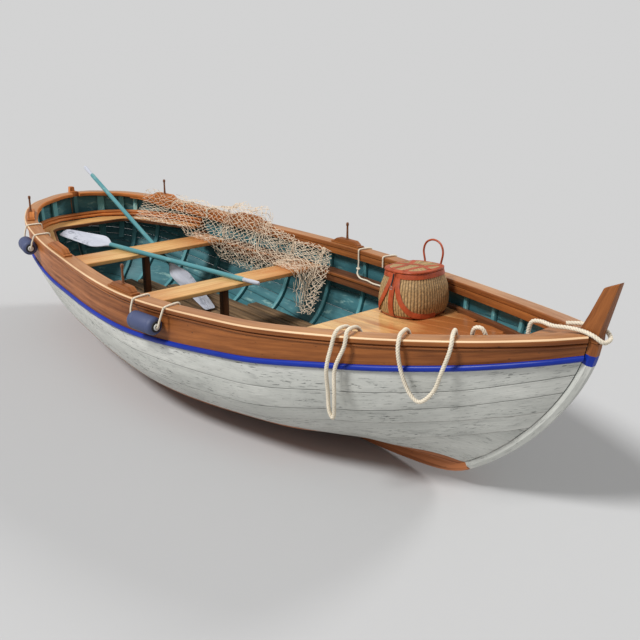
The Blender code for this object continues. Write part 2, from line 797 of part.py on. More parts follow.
def floor_half(x):
    return min(FLOOR_HALF, fitted_breadth(x, FLOOR_TOP - FLOOR_BOARD) - FLOOR_CLEAR)


def build_floor():
    """The bottom boards: lengthwise slats on four bearers that stand on the hog."""
    bm = bmesh.new()
    under = FLOOR_TOP - FLOOR_BOARD
    low, high = FLOOR_RANGE
    slats = round(FLOOR_HALF / SLAT_PITCH)
    scan = [low + (high - low) * k / 120 for k in range(121)]
    for k in range(slats):
        inner = k * SLAT_PITCH + (SLAT_PITCH - SLAT_WIDTH) / 2
        outer = inner + SLAT_WIDTH
        fits = [x for x in scan if floor_half(x) >= outer]
        for side in (-1, 1):
            a, b = sorted((inner * side, outer * side))
            add_box(bm, (fits[0], a, under), (fits[-1], b, FLOOR_TOP))
    slat_object = mesh_object("slats", bm, LOOKS["floor"])
    pieces = []
    for x in BEARERS:
        base = max(hog_top(x - BEARER_SIDE / 2), hog_top(x + BEARER_SIDE / 2)) + GAP
        half = fitted_breadth(x, base) - FLOOR_CLEAR
        wide = floor_half(x) - 0.01
        ring = [(-half, base), (half, base), (wide, under - 0.02), (wide, under + 0.004),
                (-wide, under + 0.004), (-wide, under - 0.02)]
        rings = [[Vector((x + dx, y, z)) for y, z in ring] for dx in (-BEARER_SIDE / 2, BEARER_SIDE / 2)]
        pieces.append(loft("bearer", rings, LOOKS["floor"]))
    join_all("bottom_boards", [slat_object] + pieces, LOOKS["floor"])


def build_breasthook():
    """The wedge between the two caps behind the stem."""
    low_x, high_x = BREASTHOOK
    inward = CAP_WIDTH - CAP_OVERHANG
    folds = [plan_offset(head, inward)[0] for head in HEADS]
    stands = [low_x] + [x for x in folds if low_x < x < high_x] + [high_x]
    inner = [(x, cap_edge(x, inward) - 2 * GAP) for x in stands]
    ring = inner + [(x, -y) for x, y in reversed(inner)]
    low = sheer_at(low_x) - 0.004
    high = cap_top(high_x) + 0.006
    flat_board("breasthook", list(reversed(ring)), low, high, LOOKS["varnish"])


def cap_top(x):
    return sheer_at(x) + CAP_GAP + CAP_THICK


def cap_edge(x, inward):
    """Half breadth of a line along the faceted cap, at a real x."""
    line = [plan_offset(head, inward) for head in HEADS]
    k = max(i for i in range(FRAMES) if line[i][0] <= x)
    t = (x - line[k][0]) / (line[k + 1][0] - line[k][0])
    return line[k][1] + (line[k + 1][1] - line[k][1]) * t


def build_block(side, suffix, name, x, length, has_pin):
    """A thole block: a base plate with a bevelled upper body, and on some a thole pin."""
    ends = []
    for head in (x - length / 2, x + length / 2):
        px, py = plan_offset(head, CAP_WIDTH / 2 - CAP_OVERHANG)
        ends.append(Vector((px, py * side, cap_top(head))))
    middle = (ends[0] + ends[1]) / 2
    px, py = plan_offset(x, CAP_WIDTH / 2 - CAP_OVERHANG)
    along = (ends[1] - ends[0]).normalized()
    across = Vector((0, 0, 1)).cross(along).normalized()
    up = along.cross(across)
    origin = Vector(((px + middle.x) / 2, (py * side + middle.y) / 2, middle.z)) + up * 0.0011
    length = (ends[1] - ends[0]).length

    def place(a, b, c):
        return origin + along * a + across * b + up * c

    half = 0.027
    rings = []
    # along, half width, height of the top
    profile = ((-0.50, half, 0.012), (-0.42, half, 0.012), (-0.415, half - 0.004, 0.014),
               (-0.30, half - 0.004, 0.036), (0.30, half - 0.004, 0.036),
               (0.415, half - 0.004, 0.014), (0.42, half, 0.012), (0.50, half, 0.012))
    for share, wide, height in profile:
        a = share * length
        rings.append([place(a, -half, 0), place(a, half, 0), place(a, half, 0.010),
                      place(a, wide, height), place(a, -wide, height), place(a, -half, 0.010)])
    label = f"thole_block_{name}_{suffix}"
    if not has_pin:
        loft(label, rings, LOOKS["varnish"])
        return
    block = loft("block", rings, LOOKS["varnish"])
    bm = bmesh.new()
    lean = Matrix.Translation(origin + up * (0.028 + PIN_HEIGHT / 2))
    bmesh.ops.create_cone(bm, cap_ends=True, segments=12, radius1=PIN_RADIUS, radius2=PIN_RADIUS * 0.85,
                          depth=PIN_HEIGHT, matrix=lean)
    pin = mesh_object("pin", bm, LOOKS["varnish"])
    join_all(label, [block, pin], LOOKS["varnish"])


# ---------------------------------------------------------------- gear
def oar(name, tip, towards, roll, look):
    """An oar from the tip of its blade, laid in a direction and rolled on its own axis."""
    tip = Vector(tip)
    along = Vector(towards).normalized()
    flat = Vector((0, 0, 1)) - along * along.z
    flat.normalize()
    side = flat.cross(along)
    flat = Matrix.Rotation(roll, 3, along) @ flat
    side = Matrix.Rotation(roll, 3, along) @ side
    length, width, thick = OAR_BLADE
    sides = 10
    # distance from the tip, half width, half thickness
    profile = ((0.0, width * 0.25, 0.005), (0.02, width * 0.30, 0.007), (0.20, width * 0.40, thick),
               (0.40, width / 2, thick), (0.46, width * 0.47, 0.011), (0.52, width * 0.31, 0.013),
               (length, OAR_SHAFT, OAR_SHAFT),
               (OAR_LENGTH - 0.135, OAR_SHAFT, OAR_SHAFT), (OAR_LENGTH - 0.125, 0.0135, 0.0135),
               (OAR_LENGTH - 0.01, 0.0145, 0.0145), (OAR_LENGTH, 0.011, 0.011))
    rings = []
    for distance, half, deep in profile:
        ring = []
        for k in range(sides):
            angle = 2 * pi * k / sides
            ring.append(tip + along * distance + side * (half * cos(angle)) + flat * (deep * sin(angle)))
        rings.append(ring)
    return set_origin(loft(name, rings, look, 40), tip)


def fender_rope_top(x, side):
    """Middle of a fender's rope where it bends over the edge of the cap."""
    px, py = plan_offset(x, -CAP_OVERHANG)
    return Vector((px, (py + FENDER_ROPE + 2 * GAP) * side, cap_top(x)))


def fender_hinge(x, length, side):
    """A point on the line that a fender swings about, and the line's direction."""
    span = length / 2 + FENDER_ROPE_SPAN
    aft, fore = fender_rope_top(x - span, side), fender_rope_top(x + span, side)
    return (aft + fore) / 2, (fore - aft).normalized() * side


def fender_middle(x, side):
    """Middle of a fender's body, lying against the planking."""
    px = plan_offset(x, -CAP_OVERHANG)[0]
    axis_z = cap_top(x) - FENDER_DROP
    bulge = breadth_at(px, axis_z, -FENDER_RADIUS - 2 * GAP) - breadth_at(px, axis_z)
    out = faceted_breadth(px, axis_z, range(RIB_ROWS[-1] + 1), 0.0) + bulge
    return Vector((px, (out + FENDER_SEAT) * side, axis_z))


def build_fender(side, suffix, name, x, length):
    middle = fender_middle(x, side)
    ax, ay = plan_offset(x - length / 2, 0)
    bx, by = plan_offset(x + length / 2, 0)
    along = Vector((bx - ax, (by - ay) * side, 0)).normalized()
    turn = along.to_track_quat("X", "Z").to_matrix().to_4x4()
    spin = Matrix.Rotation(pi / 2, 4, "Y")
    bm = bmesh.new()
    bmesh.ops.create_cone(bm, cap_ends=True, segments=16, radius1=FENDER_RADIUS, radius2=FENDER_RADIUS,
                          depth=length, matrix=Matrix.Translation(middle) @ turn @ spin)
    pieces = [mesh_object("body", bm, LOOKS["fender"])]
    for end in (-1, 1):
        washer = middle + along * (end * (length / 2 + 0.002))
        bm = bmesh.new()
        bmesh.ops.create_cone(bm, cap_ends=True, segments=8, radius1=0.019, radius2=0.019,
                              depth=0.014, matrix=Matrix.Translation(washer) @ turn @ spin)
        pieces.append(mesh_object("washer", bm, LOOKS["rope"]))
        top = fender_rope_top(x + end * (length / 2 + FENDER_ROPE_SPAN), side)
        out = middle + along * (end * (length / 2 + 0.014))
        route = smooth_route([middle + along * (end * (length / 2 - 0.01)), out, top], 0.03)
        pieces.append(tube_mesh(route, FENDER_ROPE, LOOKS["rope"]))
    fender = join_all(f"fender_{name}_{suffix}", pieces, LOOKS["fender"])
    set_origin(fender, fender_hinge(x, length, side)[0])


def creel_point(angle, half_width, height):
    """A point round the creel, which stands square to the boat on the sloping deck."""
    cx, cy = CREEL_AT
    power = abs(cos(angle)) ** CREEL_POWER + abs(sin(angle)) ** CREEL_POWER
    reach = half_width * power ** (-1 / CREEL_POWER)
    x = cx + reach * cos(angle)
    aft, fore = (sheer_at(cx + dx) - DECK_DROP for dx in (-CREEL_REACH, CREEL_REACH))
    deck = aft + (fore - aft) * (x - cx + CREEL_REACH) / (2 * CREEL_REACH)
    return Vector((x, cy + reach * sin(angle), deck + GAP + height))


def creel_ring(half_width, height, count=20):
    return [creel_point(2 * pi * k / count, half_width, height) for k in range(count)]


def creel_hinge():
    """A point on the lid's hinge and the hinge's direction."""
    half_width = CREEL_WALL[-1][1]
    middle = creel_point(pi / 2, half_width, CREEL_HEIGHT)
    rise = creel_point(0, half_width, CREEL_HEIGHT) - creel_point(pi, half_width, CREEL_HEIGHT)
    return middle, rise.normalized()


def build_creel():
    rings = [creel_ring(half, CREEL_HEIGHT * share) for share, half in CREEL_WALL]
    for share, half in reversed(CREEL_WALL[1:]):
        rings.append(creel_ring(half - CREEL_SHELL, CREEL_HEIGHT * share))
    rings.append(creel_ring(CREEL_WALL[0][1] - CREEL_SHELL, CREEL_SHELL))
    body = loft("creel_body", rings, LOOKS["wicker"], 60)
    set_origin(body, Vector((*CREEL_AT, sheer_at(CREEL_AT[0]) - DECK_DROP)))
    half = CREEL_WALL[-1][1] + LID_LIP
    seat = CREEL_HEIGHT + GAP
    lid = [creel_ring(half, seat), creel_ring(half, seat + LID_THICK * 0.6),
           creel_ring(half - LID_BEVEL, seat + LID_THICK)]
    hinge, along = creel_hinge()
    set_origin(loft("creel_lid", lid, LOOKS["leather"], 40), hinge)

    # a loop of leather that stands behind the lid, with its feet on the creel's back
    share = 1 - HANDLE_DROP / CREEL_HEIGHT
    half = column(CREEL_WALL, 1, share) + HANDLE_RADIUS + GAP
    upright = Vector((0, 0, HANDLE_RISE))
    aft = along * -HANDLE_SHIFT
    back = hinge + aft + Vector((0, HANDLE_BACK, 0))
    legs = [back + along * (HANDLE_HALF * k) for k in (-1, 1)]
    feet = []
    for k in (-1, 1):
        foot = creel_point(pi / 2, half, CREEL_HEIGHT * share) + aft + along * (HANDLE_HALF * k)
        feet.append(foot - Vector((0, HANDLE_FOOT_IN, 0)))
    loop = [feet[0], legs[0], legs[0] + upright * 0.5, legs[0].lerp(back, 0.3) + upright * 0.86,
            back + upright,
            legs[1].lerp(back, 0.3) + upright * 0.86, legs[1] + upright * 0.5, legs[1], feet[1]]
    handle = tube("creel_handle", smooth_route(loop, 0.03, radians(24)), HANDLE_RADIUS, LOOKS["leather"])
    set_origin(handle, hinge)


# The net lies over the port cap and down inside. At each x: whether it goes over the cap or starts
# at its inner edge, its height over the cap, how far it reaches in past the ledge's edge and how far
# it drops below the ledge there.
NET_SPANS = (
    (-2.03, False, 0.014, 0.04, -0.014), (-1.785, False, 0.014, 0.07, -0.014),
    (-1.75, True, 0.014, 0.08, -0.014), (-1.48, True, 0.014, 0.10, -0.014),
    (-1.43, True, 0.014, 0.13, -0.014), (-1.21, True, 0.056, 0.14, -0.007),
    (-1.165, True, 0.056, 0.12, -0.007), (-1.11, True, 0.056, 0.05, 0.12),
    (-0.83, True, 0.056, 0.04, 0.15), (-0.78, True, 0.018, 0.04, 0.16),
    (-0.70, False, 0.018, 0.05, 0.17), (-0.47, False, -0.030, 0.06, 0.14),
    (-0.415, False, -0.045, 0.18, -0.014), (-0.160, False, -0.045, 0.20, -0.014),
    (-0.135, False, -0.045, 0.19, 0.280), (0.000, False, -0.045, 0.15, 0.280),
)
NET_HALF = 0.006


def net_path(x, over, lift, reach, drop):
    """Points across the net, from outboard to inboard, as (y, z)."""
    cap_out = cap_edge(x, -CAP_OVERHANG)
    cap_in = cap_edge(x, CAP_WIDTH - CAP_OVERHANG)
    top = cap_top(x) + lift
    if x < LEDGE_RANGE[0] + 0.012:
        ledge, ledge_in = BENCH_TOP, fitted_breadth(x, BENCH_TOP) - BENCH_ARM
    else:
        ledge = ledge_top(x)
        ledge_in = ledge_outer(x, ledge) - LEDGE_WIDTH
    start = [(cap_out - 0.004, top), ((cap_out + cap_in) / 2, top), (cap_in - 0.012, top - 0.001)]
    if not over:
        start = [(cap_in - 0.010, top), (cap_in - 0.013, top - 0.002), (cap_in - 0.016, top - 0.005)]
    path = start + [(cap_in - 0.026, ledge + 0.10), (ledge_in - 0.004, ledge + 0.022),
                    (ledge_in - 0.026, ledge + 0.012), (ledge_in - reach, ledge - drop)]
    return [Vector(p) for p in path]


def build_net():
    rings = []
    for row in NET_SPANS:
        line = net_path(*row)
        outer, inner = [], []
        for k, point in enumerate(line):
            a, b = line[max(0, k - 1)], line[min(len(line) - 1, k + 1)]
            run = (b - a).normalized()
            normal = Vector((run.y, -run.x))
            outer.append(point + normal * NET_HALF)
            inner.append(point - normal * NET_HALF)
        rings.append([Vector((row[0], p.x, p.y)) for p in outer + list(reversed(inner))])
    loft("fishing_net", rings, LOOKS["net"], 60)


# The mooring line: a turn round the stem, down on the foredeck, and in two bights over the
# starboard cap with its end on the deck
MOORING_ROUTE = (
    (2.290, 0.018, 0.7545), (2.350, 0.0405, 0.7625), (2.410, 0.0415, 0.7635), (2.459, 0.0450, 0.760),
    (2.493, 0.030, 0.740), (2.496, 0.000, 0.730), (2.493, -0.030, 0.736), (2.459, -0.0450, 0.758),
    (2.410, -0.0425, 0.7635), (2.350, -0.050, 0.7635), (2.280, -0.062, 0.757), (2.215, -0.062, 0.760),
    (2.172, -0.066, 0.738), (2.160, -0.072, 0.630), (2.125, -0.085, 0.550), (2.080, -0.130, 0.537),
    (2.050, -0.170, 0.590), (2.048, -0.195, 0.670), (2.036, -0.212, 0.712), (2.005, -0.222, 0.710),
    (1.985, -0.214, 0.670), (1.960, -0.190, 0.590), (1.930, -0.160, 0.525), (1.895, -0.165, 0.512),
    (1.890, -0.205, 0.570), (1.914, -0.238, 0.668), (1.952, -0.291, 0.699), (1.989, -0.346, 0.695),
    (1.998, -0.368, 0.640), (1.966, -0.380, 0.530), (1.937, -0.391, 0.440), (1.884, -0.414, 0.380),
    (1.840, -0.434, 0.410), (1.806, -0.454, 0.500), (1.793, -0.468, 0.600), (1.785, -0.452, 0.665),
    (1.762, -0.406, 0.671), (1.742, -0.366, 0.665), (1.726, -0.330, 0.630), (1.712, -0.298, 0.530),
    (1.680, -0.288, 0.484), (1.620, -0.330, 0.475), (1.560, -0.365, 0.478), (1.522, -0.398, 0.540), (1.509, -0.433, 0.620),
    (1.530, -0.494, 0.645), (1.553, -0.549, 0.642), (1.558, -0.568, 0.580), (1.524, -0.592, 0.470),
    (1.524, -0.594, 0.340), (1.514, -0.586, 0.240), (1.500, -0.586, 0.222), (1.487, -0.594, 0.260),
    (1.486, -0.600, 0.350), (1.496, -0.618, 0.470), (1.507, -0.599, 0.575), (1.504, -0.571, 0.634),
    (1.484, -0.512, 0.640), (1.463, -0.450, 0.614), (1.446, -0.418, 0.520), (1.425, -0.390, 0.460),
    (1.375, -0.370, 0.447), (1.320, -0.365, 0.440),
)


def build_mooring():
    route = smooth_route(MOORING_ROUTE, MOORING_SPACING, MOORING_TURN)
    tube("mooring_rope", route, MOORING_RADIUS, LOOKS["rope"])


# ---------------------------------------------------------------- build
for old in list(bpy.data.objects):
    bpy.data.objects.remove(old, do_unlink=True)

BOAT = collection("fishing_boat")
CUTTERS = collection("cutters")
LOOKS = {
    "varnish": material("varnished wood", (0.50, 0.22, 0.09), 0.35),
    "pale_varnish": material("pale varnished wood", (0.72, 0.45, 0.22), 0.40),
    "white": material("white paint", (0.78, 0.79, 0.76), 0.60),
    "bottom": material("brown bottom wood", (0.30, 0.13, 0.05), 0.55),
    "teal": material("teal paint", (0.10, 0.33, 0.38), 0.60),
    "blue": material("blue paint", (0.04, 0.08, 0.42), 0.35),
    "dark_wood": material("dark wood", (0.10, 0.05, 0.03), 0.60),
    "floor": material("weathered boards", (0.24, 0.17, 0.11), 0.70),
    "fender": material("blue fender", (0.10, 0.14, 0.30), 0.50),
    "rope": material("rope", (0.80, 0.74, 0.62), 0.85),
    "net": material("twine", (0.62, 0.54, 0.43), 0.90),
    "wicker": material("wicker", (0.50, 0.37, 0.20), 0.75),
    "leather": material("leather", (0.48, 0.15, 0.06), 0.50),
}


def build():
    build_backbone()
    for side, suffix in ((1, "port"), (-1, "starboard")):
        build_planking(side, suffix)
        build_gunwale(side, suffix)
        build_band(side, suffix)
        build_ledge(side, suffix)
        for name, x, length, has_pin in BLOCKS:
            build_block(side, suffix, name, x, length, has_pin)
        for name, x, length in FENDERS:
            build_fender(side, suffix, name, x, length)
    build_ribs()
    build_thwarts()
    build_bench()
    build_foredeck()
    build_floor()
    build_breasthook()
    oar("upper_oar", *UPPER_OAR, LOOKS["teal"])
    oar("leaning_oar", *LEANING_OAR, LOOKS["teal"])
    build_creel()
    build_net()
    build_mooring()


build()
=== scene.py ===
"""Fishing boat: the finished look of an open, double-ended wooden boat with its gear.

+X is towards the bow, +Y to port and +Z up, in metres, with the origin at the waterline.
Each operator builds one kind of piece over the packed frame.
"""

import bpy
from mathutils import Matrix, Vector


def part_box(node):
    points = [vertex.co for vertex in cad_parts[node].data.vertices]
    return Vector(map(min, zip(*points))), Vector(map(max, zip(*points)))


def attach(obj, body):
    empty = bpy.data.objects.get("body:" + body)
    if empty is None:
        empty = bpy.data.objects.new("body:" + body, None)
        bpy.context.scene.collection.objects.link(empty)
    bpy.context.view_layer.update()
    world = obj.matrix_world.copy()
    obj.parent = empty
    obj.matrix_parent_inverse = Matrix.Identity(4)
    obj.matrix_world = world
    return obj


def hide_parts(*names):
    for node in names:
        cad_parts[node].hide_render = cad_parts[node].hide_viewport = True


bl_info = {
    "name": "Fishing boat",
    "version": (1, 0, 0),
    "blender": (4, 5, 0),
    "location": "View3D > Sidebar > Fishing boat",
    "description": "Builds the planking, fittings, gear and finishes of a wooden fishing boat",
    "category": "Add Mesh",
}

import bpy
import bmesh
import random
from bisect import bisect_left
from math import atan2, ceil, cos, degrees, hypot, pi, radians, sin, sqrt, tau
from mathutils import Matrix, Vector, noise
from bpy.props import FloatProperty, FloatVectorProperty, IntProperty, PointerProperty

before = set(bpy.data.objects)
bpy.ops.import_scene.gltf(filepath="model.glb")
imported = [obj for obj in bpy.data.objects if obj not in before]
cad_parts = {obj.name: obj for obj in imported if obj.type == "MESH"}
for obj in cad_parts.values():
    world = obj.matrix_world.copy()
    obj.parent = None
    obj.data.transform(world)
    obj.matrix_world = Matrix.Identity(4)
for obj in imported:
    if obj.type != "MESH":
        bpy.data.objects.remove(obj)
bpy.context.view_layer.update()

# ---------------------------------------------------------------- sizes of the hull
GAP = 0.0005
SEAM_TRIM = 0.0005
PLANK = 0.014
BACKBONE_HALF = 0.0285
RABBET_HALF = 0.030
RIB_OUT = PLANK + 0.0016
RIB_MOULDED = 0.022
RIB_SIDED = 0.030
RIB_IN = RIB_OUT + RIB_MOULDED
CAP_THICK = 0.029
CAP_GAP = 0.0009
CAP_OVERHANG = 0.018
CAP_WIDTH = 0.090
INWALE_DEPTH = 0.040
INWALE_OUT = RIB_IN + 0.001
INWALE_IN = CAP_WIDTH - CAP_OVERHANG - 0.002
BAND_HALF_HEIGHT = 0.015
BAND_DEPTH = 0.014
LEDGE_DROP = 0.150
LEDGE_DEPTH = 0.065
LEDGE_WIDTH = 0.100
LEDGE_RANGE = (-1.49, 0.822)
THWART_THICK = 0.028
# name, aft edge, forward edge, top
THWARTS = (("aft", -1.443, -1.185, 0.385), ("middle", -0.397, -0.185, 0.360))
BENCH_TOP = 0.450
BENCH_THICK = 0.022
BENCH_INNER_X = -2.11
BENCH_INNER_HALF = 0.35
BENCH_CORNER = 0.12
BENCH_ARM = 0.135
DECK_DROP = 0.140
DECK_THICK = 0.018
DECK_RANGE = (0.83, 2.16)
DECK_TRIM = (0.026, 0.024)
FLOOR_TOP = 0.010
FLOOR_BOARD = 0.016
FLOOR_HALF = 0.60
FLOOR_RANGE = (-1.86, 0.80)
SLAT_WIDTH = 0.088
SLAT_PITCH = 0.100

# x, half_breadth, sheer_z, foot_x, foot_z, bottom_power, side_power
OFFSETS = (
    (-2.41, 0.030, 0.628, -2.05, -0.133, 1.30, 2.20),
    (-2.39, 0.133, 0.626, -2.04, -0.134, 1.30, 2.20),
    (-2.34, 0.232, 0.621, -2.02, -0.135, 1.35, 2.25),
    (-2.24, 0.385, 0.612, -1.97, -0.139, 1.40, 2.30),
    (-2.05, 0.525, 0.595, -1.84, -0.146, 1.50, 2.40),
    (-1.70, 0.662, 0.567, -1.58, -0.155, 1.70, 2.50),
    (-1.00, 0.779, 0.527, -1.00, -0.164, 2.70, 2.65),
    (0.00, 0.864, 0.509, 0.00, -0.165, 3.60, 2.80),
    (0.90, 0.743, 0.537, 0.88, -0.158, 2.10, 3.20),
    (1.50, 0.549, 0.586, 1.33, -0.141, 1.10, 2.95),
    (2.00, 0.322, 0.648, 1.60, -0.116, 1.28, 1.70),
    (2.30, 0.142, 0.696, 1.72, -0.104, 1.28, 1.55),
    (2.43, 0.035, 0.720, 1.76, -0.100, 1.21, 1.55),
)
# x, then the plank seams as shares of the girth from the keel to the sheer
SEAMS = (
    (-2.41, 0.25, 0.50, 0.589, 0.648, 0.704, 0.760, 0.818),
    (-1.60, 0.26, 0.52, 0.587, 0.643, 0.698, 0.754, 0.808),
    (-0.80, 0.26, 0.50, 0.571, 0.625, 0.683, 0.764, 0.829),
    (0.20, 0.22, 0.41, 0.469, 0.576, 0.663, 0.769, 0.857),
    (1.20, 0.11, 0.20, 0.344, 0.531, 0.620, 0.739, 0.872),
    (1.90, 0.08, 0.16, 0.371, 0.528, 0.633, 0.746, 0.885),
    (2.43, 0.04, 0.08, 0.511, 0.634, 0.753, 0.851, 0.932),
)
STRAKES = ("garboard", "bottom", "bilge", "lower", "middle", "upper", "top", "sheer")
RIBS = (-2.17, -1.98, -1.66, -1.31, -0.93, -0.56, -0.15, 0.21, 0.60, 0.95, 1.27, 1.55, 1.82, 2.06)

# name, middle, length, has a pin
BLOCKS = (("aft", -1.915, 0.23, True), ("middle", -1.003, 0.35, False), ("forward", 0.017, 0.28, True))
PIN_HEIGHT = 0.115
# name, middle, length of the body
FENDERS = (("aft", -1.550, 0.195), ("forward", 0.334, 0.205))
FENDER_RADIUS = 0.050
FENDER_DROP = 0.100
FENDER_ROPE = 0.0065
FENDER_ROPE_SPAN = 0.030

OAR_LENGTH = 2.04
OAR_SHAFT = 0.0165
# where each blade ends, the direction of the shaft and its roll
UPPER_OAR = ((-2.060, -0.2632, 0.4242), (2.115, 0.442, -0.0529), 0.35)
LEANING_OAR = ((-0.735, 0.210, 0.0265), (-1.0, 0.0068, 0.4202), 0.0)

CREEL_AT = (1.036, 0.420)
CREEL_HEIGHT = 0.252
CREEL_REACH = 0.15
CREEL_POWER = 2.7
CREEL_WALL = (
    (0.00, 0.150), (0.10, 0.168), (0.32, 0.178), (0.62, 0.170), (0.90, 0.149), (1.00, 0.144),
)
LID_THICK = 0.016
LID_LIP = 0.004
LID_BEVEL = 0.024
HANDLE_RADIUS = 0.0058
HANDLE_RISE = 0.135
HANDLE_HALF = 0.060
HANDLE_BACK = 0.023
HANDLE_DROP = 0.045
HANDLE_SHIFT = 0.018
HANDLE_FOOT_IN = 0.0024

# x, over the cap, height over the cap, reach in past the ledge, drop below it
NET_SPANS = (
    (-2.03, False, 0.014, 0.04, -0.014), (-1.785, False, 0.014, 0.07, -0.014),
    (-1.75, True, 0.014, 0.08, -0.014), (-1.48, True, 0.014, 0.10, -0.014),
    (-1.43, True, 0.014, 0.13, -0.014), (-1.21, True, 0.056, 0.14, -0.007),
    (-1.165, True, 0.056, 0.12, -0.007), (-1.11, True, 0.056, 0.05, 0.12),
    (-0.83, True, 0.056, 0.04, 0.15), (-0.78, True, 0.018, 0.04, 0.16),
    (-0.70, False, 0.018, 0.05, 0.17), (-0.47, False, -0.030, 0.06, 0.14),
    (-0.415, False, -0.045, 0.18, -0.014), (-0.160, False, -0.045, 0.20, -0.014),
    (-0.135, False, -0.045, 0.19, 0.280), (0.000, False, -0.045, 0.15, 0.280),
)

MOORING_RADIUS = 0.0105
# x, share of the girth up to which the bottom is brown
PAINT_LINE = (
    (-2.41, 0.50), (-1.60, 0.60), (-1.00, 0.615), (-0.70, 0.622), (-0.40, 0.624), (-0.10, 0.610), (0.20, 0.574),
    (0.50, 0.538), (0.80, 0.488), (1.00, 0.445), (1.20, 0.350), (1.35, 0.205), (1.90, 0.16), (2.43, 0.08),
)
CANT_RIBS = (-2.35, -2.26)
MOORING_ROUTE = (
    (2.290, 0.018, 0.7545), (2.350, 0.0405, 0.7625), (2.410, 0.0415, 0.7635), (2.459, 0.0450, 0.760),
    (2.493, 0.030, 0.740), (2.496, 0.000, 0.730), (2.493, -0.030, 0.736), (2.459, -0.0450, 0.758),
    (2.410, -0.0425, 0.7635), (2.350, -0.050, 0.7635), (2.280, -0.062, 0.757), (2.215, -0.062, 0.760),
    (2.172, -0.066, 0.738), (2.160, -0.072, 0.630), (2.125, -0.085, 0.550), (2.080, -0.130, 0.537),
    (2.050, -0.170, 0.590), (2.048, -0.195, 0.670), (2.036, -0.212, 0.712), (2.005, -0.222, 0.710),
    (1.985, -0.214, 0.670), (1.960, -0.190, 0.590), (1.930, -0.160, 0.525), (1.895, -0.165, 0.512),
    (1.890, -0.205, 0.570), (1.914, -0.238, 0.668), (1.952, -0.291, 0.699), (1.989, -0.346, 0.695),
    (1.998, -0.368, 0.640), (1.966, -0.380, 0.530), (1.937, -0.391, 0.440), (1.884, -0.414, 0.380),
    (1.840, -0.434, 0.410), (1.806, -0.454, 0.500), (1.793, -0.468, 0.600), (1.785, -0.452, 0.665),
    (1.762, -0.406, 0.671), (1.742, -0.366, 0.665), (1.726, -0.330, 0.630), (1.712, -0.298, 0.530),
    (1.680, -0.288, 0.484), (1.620, -0.330, 0.475), (1.560, -0.365, 0.478), (1.522, -0.398, 0.540),
    (1.509, -0.433, 0.620), (1.530, -0.494, 0.645), (1.553, -0.549, 0.642), (1.558, -0.568, 0.580),
    (1.524, -0.592, 0.470), (1.524, -0.594, 0.340), (1.514, -0.586, 0.240), (1.500, -0.586, 0.222),
    (1.487, -0.594, 0.260), (1.486, -0.600, 0.350), (1.496, -0.618, 0.470), (1.507, -0.599, 0.575),
    (1.504, -0.571, 0.634), (1.484, -0.512, 0.640), (1.463, -0.450, 0.614), (1.446, -0.418, 0.520),
    (1.425, -0.390, 0.460), (1.375, -0.370, 0.447), (1.320, -0.365, 0.440),
)


# ---------------------------------------------------------------- the hull's surface
def column(table, index, x):
    """Column `index` of a table read at x, through a cubic that never overshoots."""
    xs = [row[0] for row in table]
    ys = [row[index] for row in table]
    x = min(max(x, xs[0]), xs[-1])
    steps = [b - a for a, b in zip(xs, xs[1:])]
    slopes = [(b - a) / h for a, b, h in zip(ys, ys[1:], steps)]
    ends = [slopes[0]]
    for a, b in zip(slopes, slopes[1:]):
        ends.append(0.0 if a * b <= 0 else 2 * a * b / (a + b))
    ends.append(slopes[-1])
    i = max(k for k in range(len(steps)) if xs[k] <= x)
    h = steps[i]
    t = (x - xs[i]) / h
    return ((1 + 2 * t) * (1 - t) ** 2 * ys[i] + t * (1 - t) ** 2 * h * ends[i]
            + t * t * (3 - 2 * t) * ys[i + 1] + t * t * (t - 1) * h * ends[i + 1])


LOW_X, HIGH_X = OFFSETS[0][0], OFFSETS[-1][0]
GIRTHS = {}


def girth(x):
    """Points of the port skin on the frame at x, with their distances from the keel."""
    key = round(x, 5)
    if key not in GIRTHS:
        half, sheer, foot_x, foot_z, bottom, side = [column(OFFSETS, k, x) for k in range(1, 7)]
        points = []
        for k in range(49):
            angle = k / 48 * pi / 2
            rise = cos(angle) ** (2 / side) if k < 48 else 0.0
            reach = sin(angle) ** (2 / bottom)
            points.append(Vector((foot_x + (x - foot_x) * reach,
                                  RABBET_HALF + (half - RABBET_HALF) * reach,
                                  sheer - (sheer - foot_z) * rise)))
        lengths = [0.0]
        for a, b in zip(points, points[1:]):
            lengths.append(lengths[-1] + (b - a).length)
        GIRTHS[key] = points, lengths
    return GIRTHS[key]


def skin(x, share):
    """Point of the port outer skin on the frame at x, at a share of its girth."""
    points, lengths = girth(x)
    goal = min(max(share, 0.0), 1.0) * lengths[-1]
    k = min(max(bisect_left(lengths, goal), 1), len(lengths) - 1)
    return points[k - 1].lerp(points[k], (goal - lengths[k - 1]) / max(lengths[k] - lengths[k - 1], 1e-9))


def skin_normal(x, share):
    a, b = max(LOW_X, x - 0.01), min(HIGH_X, x + 0.01)
    along = skin(b, share) - skin(a, share)
    up = skin(x, min(1.0, share + 0.02)) - skin(x, max(0.0, share - 0.02))
    return up.cross(along).normalized()


def depth_point(x, share, depth):
    return skin(x, share) - skin_normal(x, share) * depth


def stations(count, low=LOW_X, high=HIGH_X):
    """Heads of frames, closer together towards stem and stern."""
    middle, reach = (low + high) / 2, (high - low) / 2
    return [middle - reach * cos(pi * k / count) for k in range(count + 1)]


def evenly(low, high, count):
    return [low + (high - low) * k / count for k in range(count + 1)]


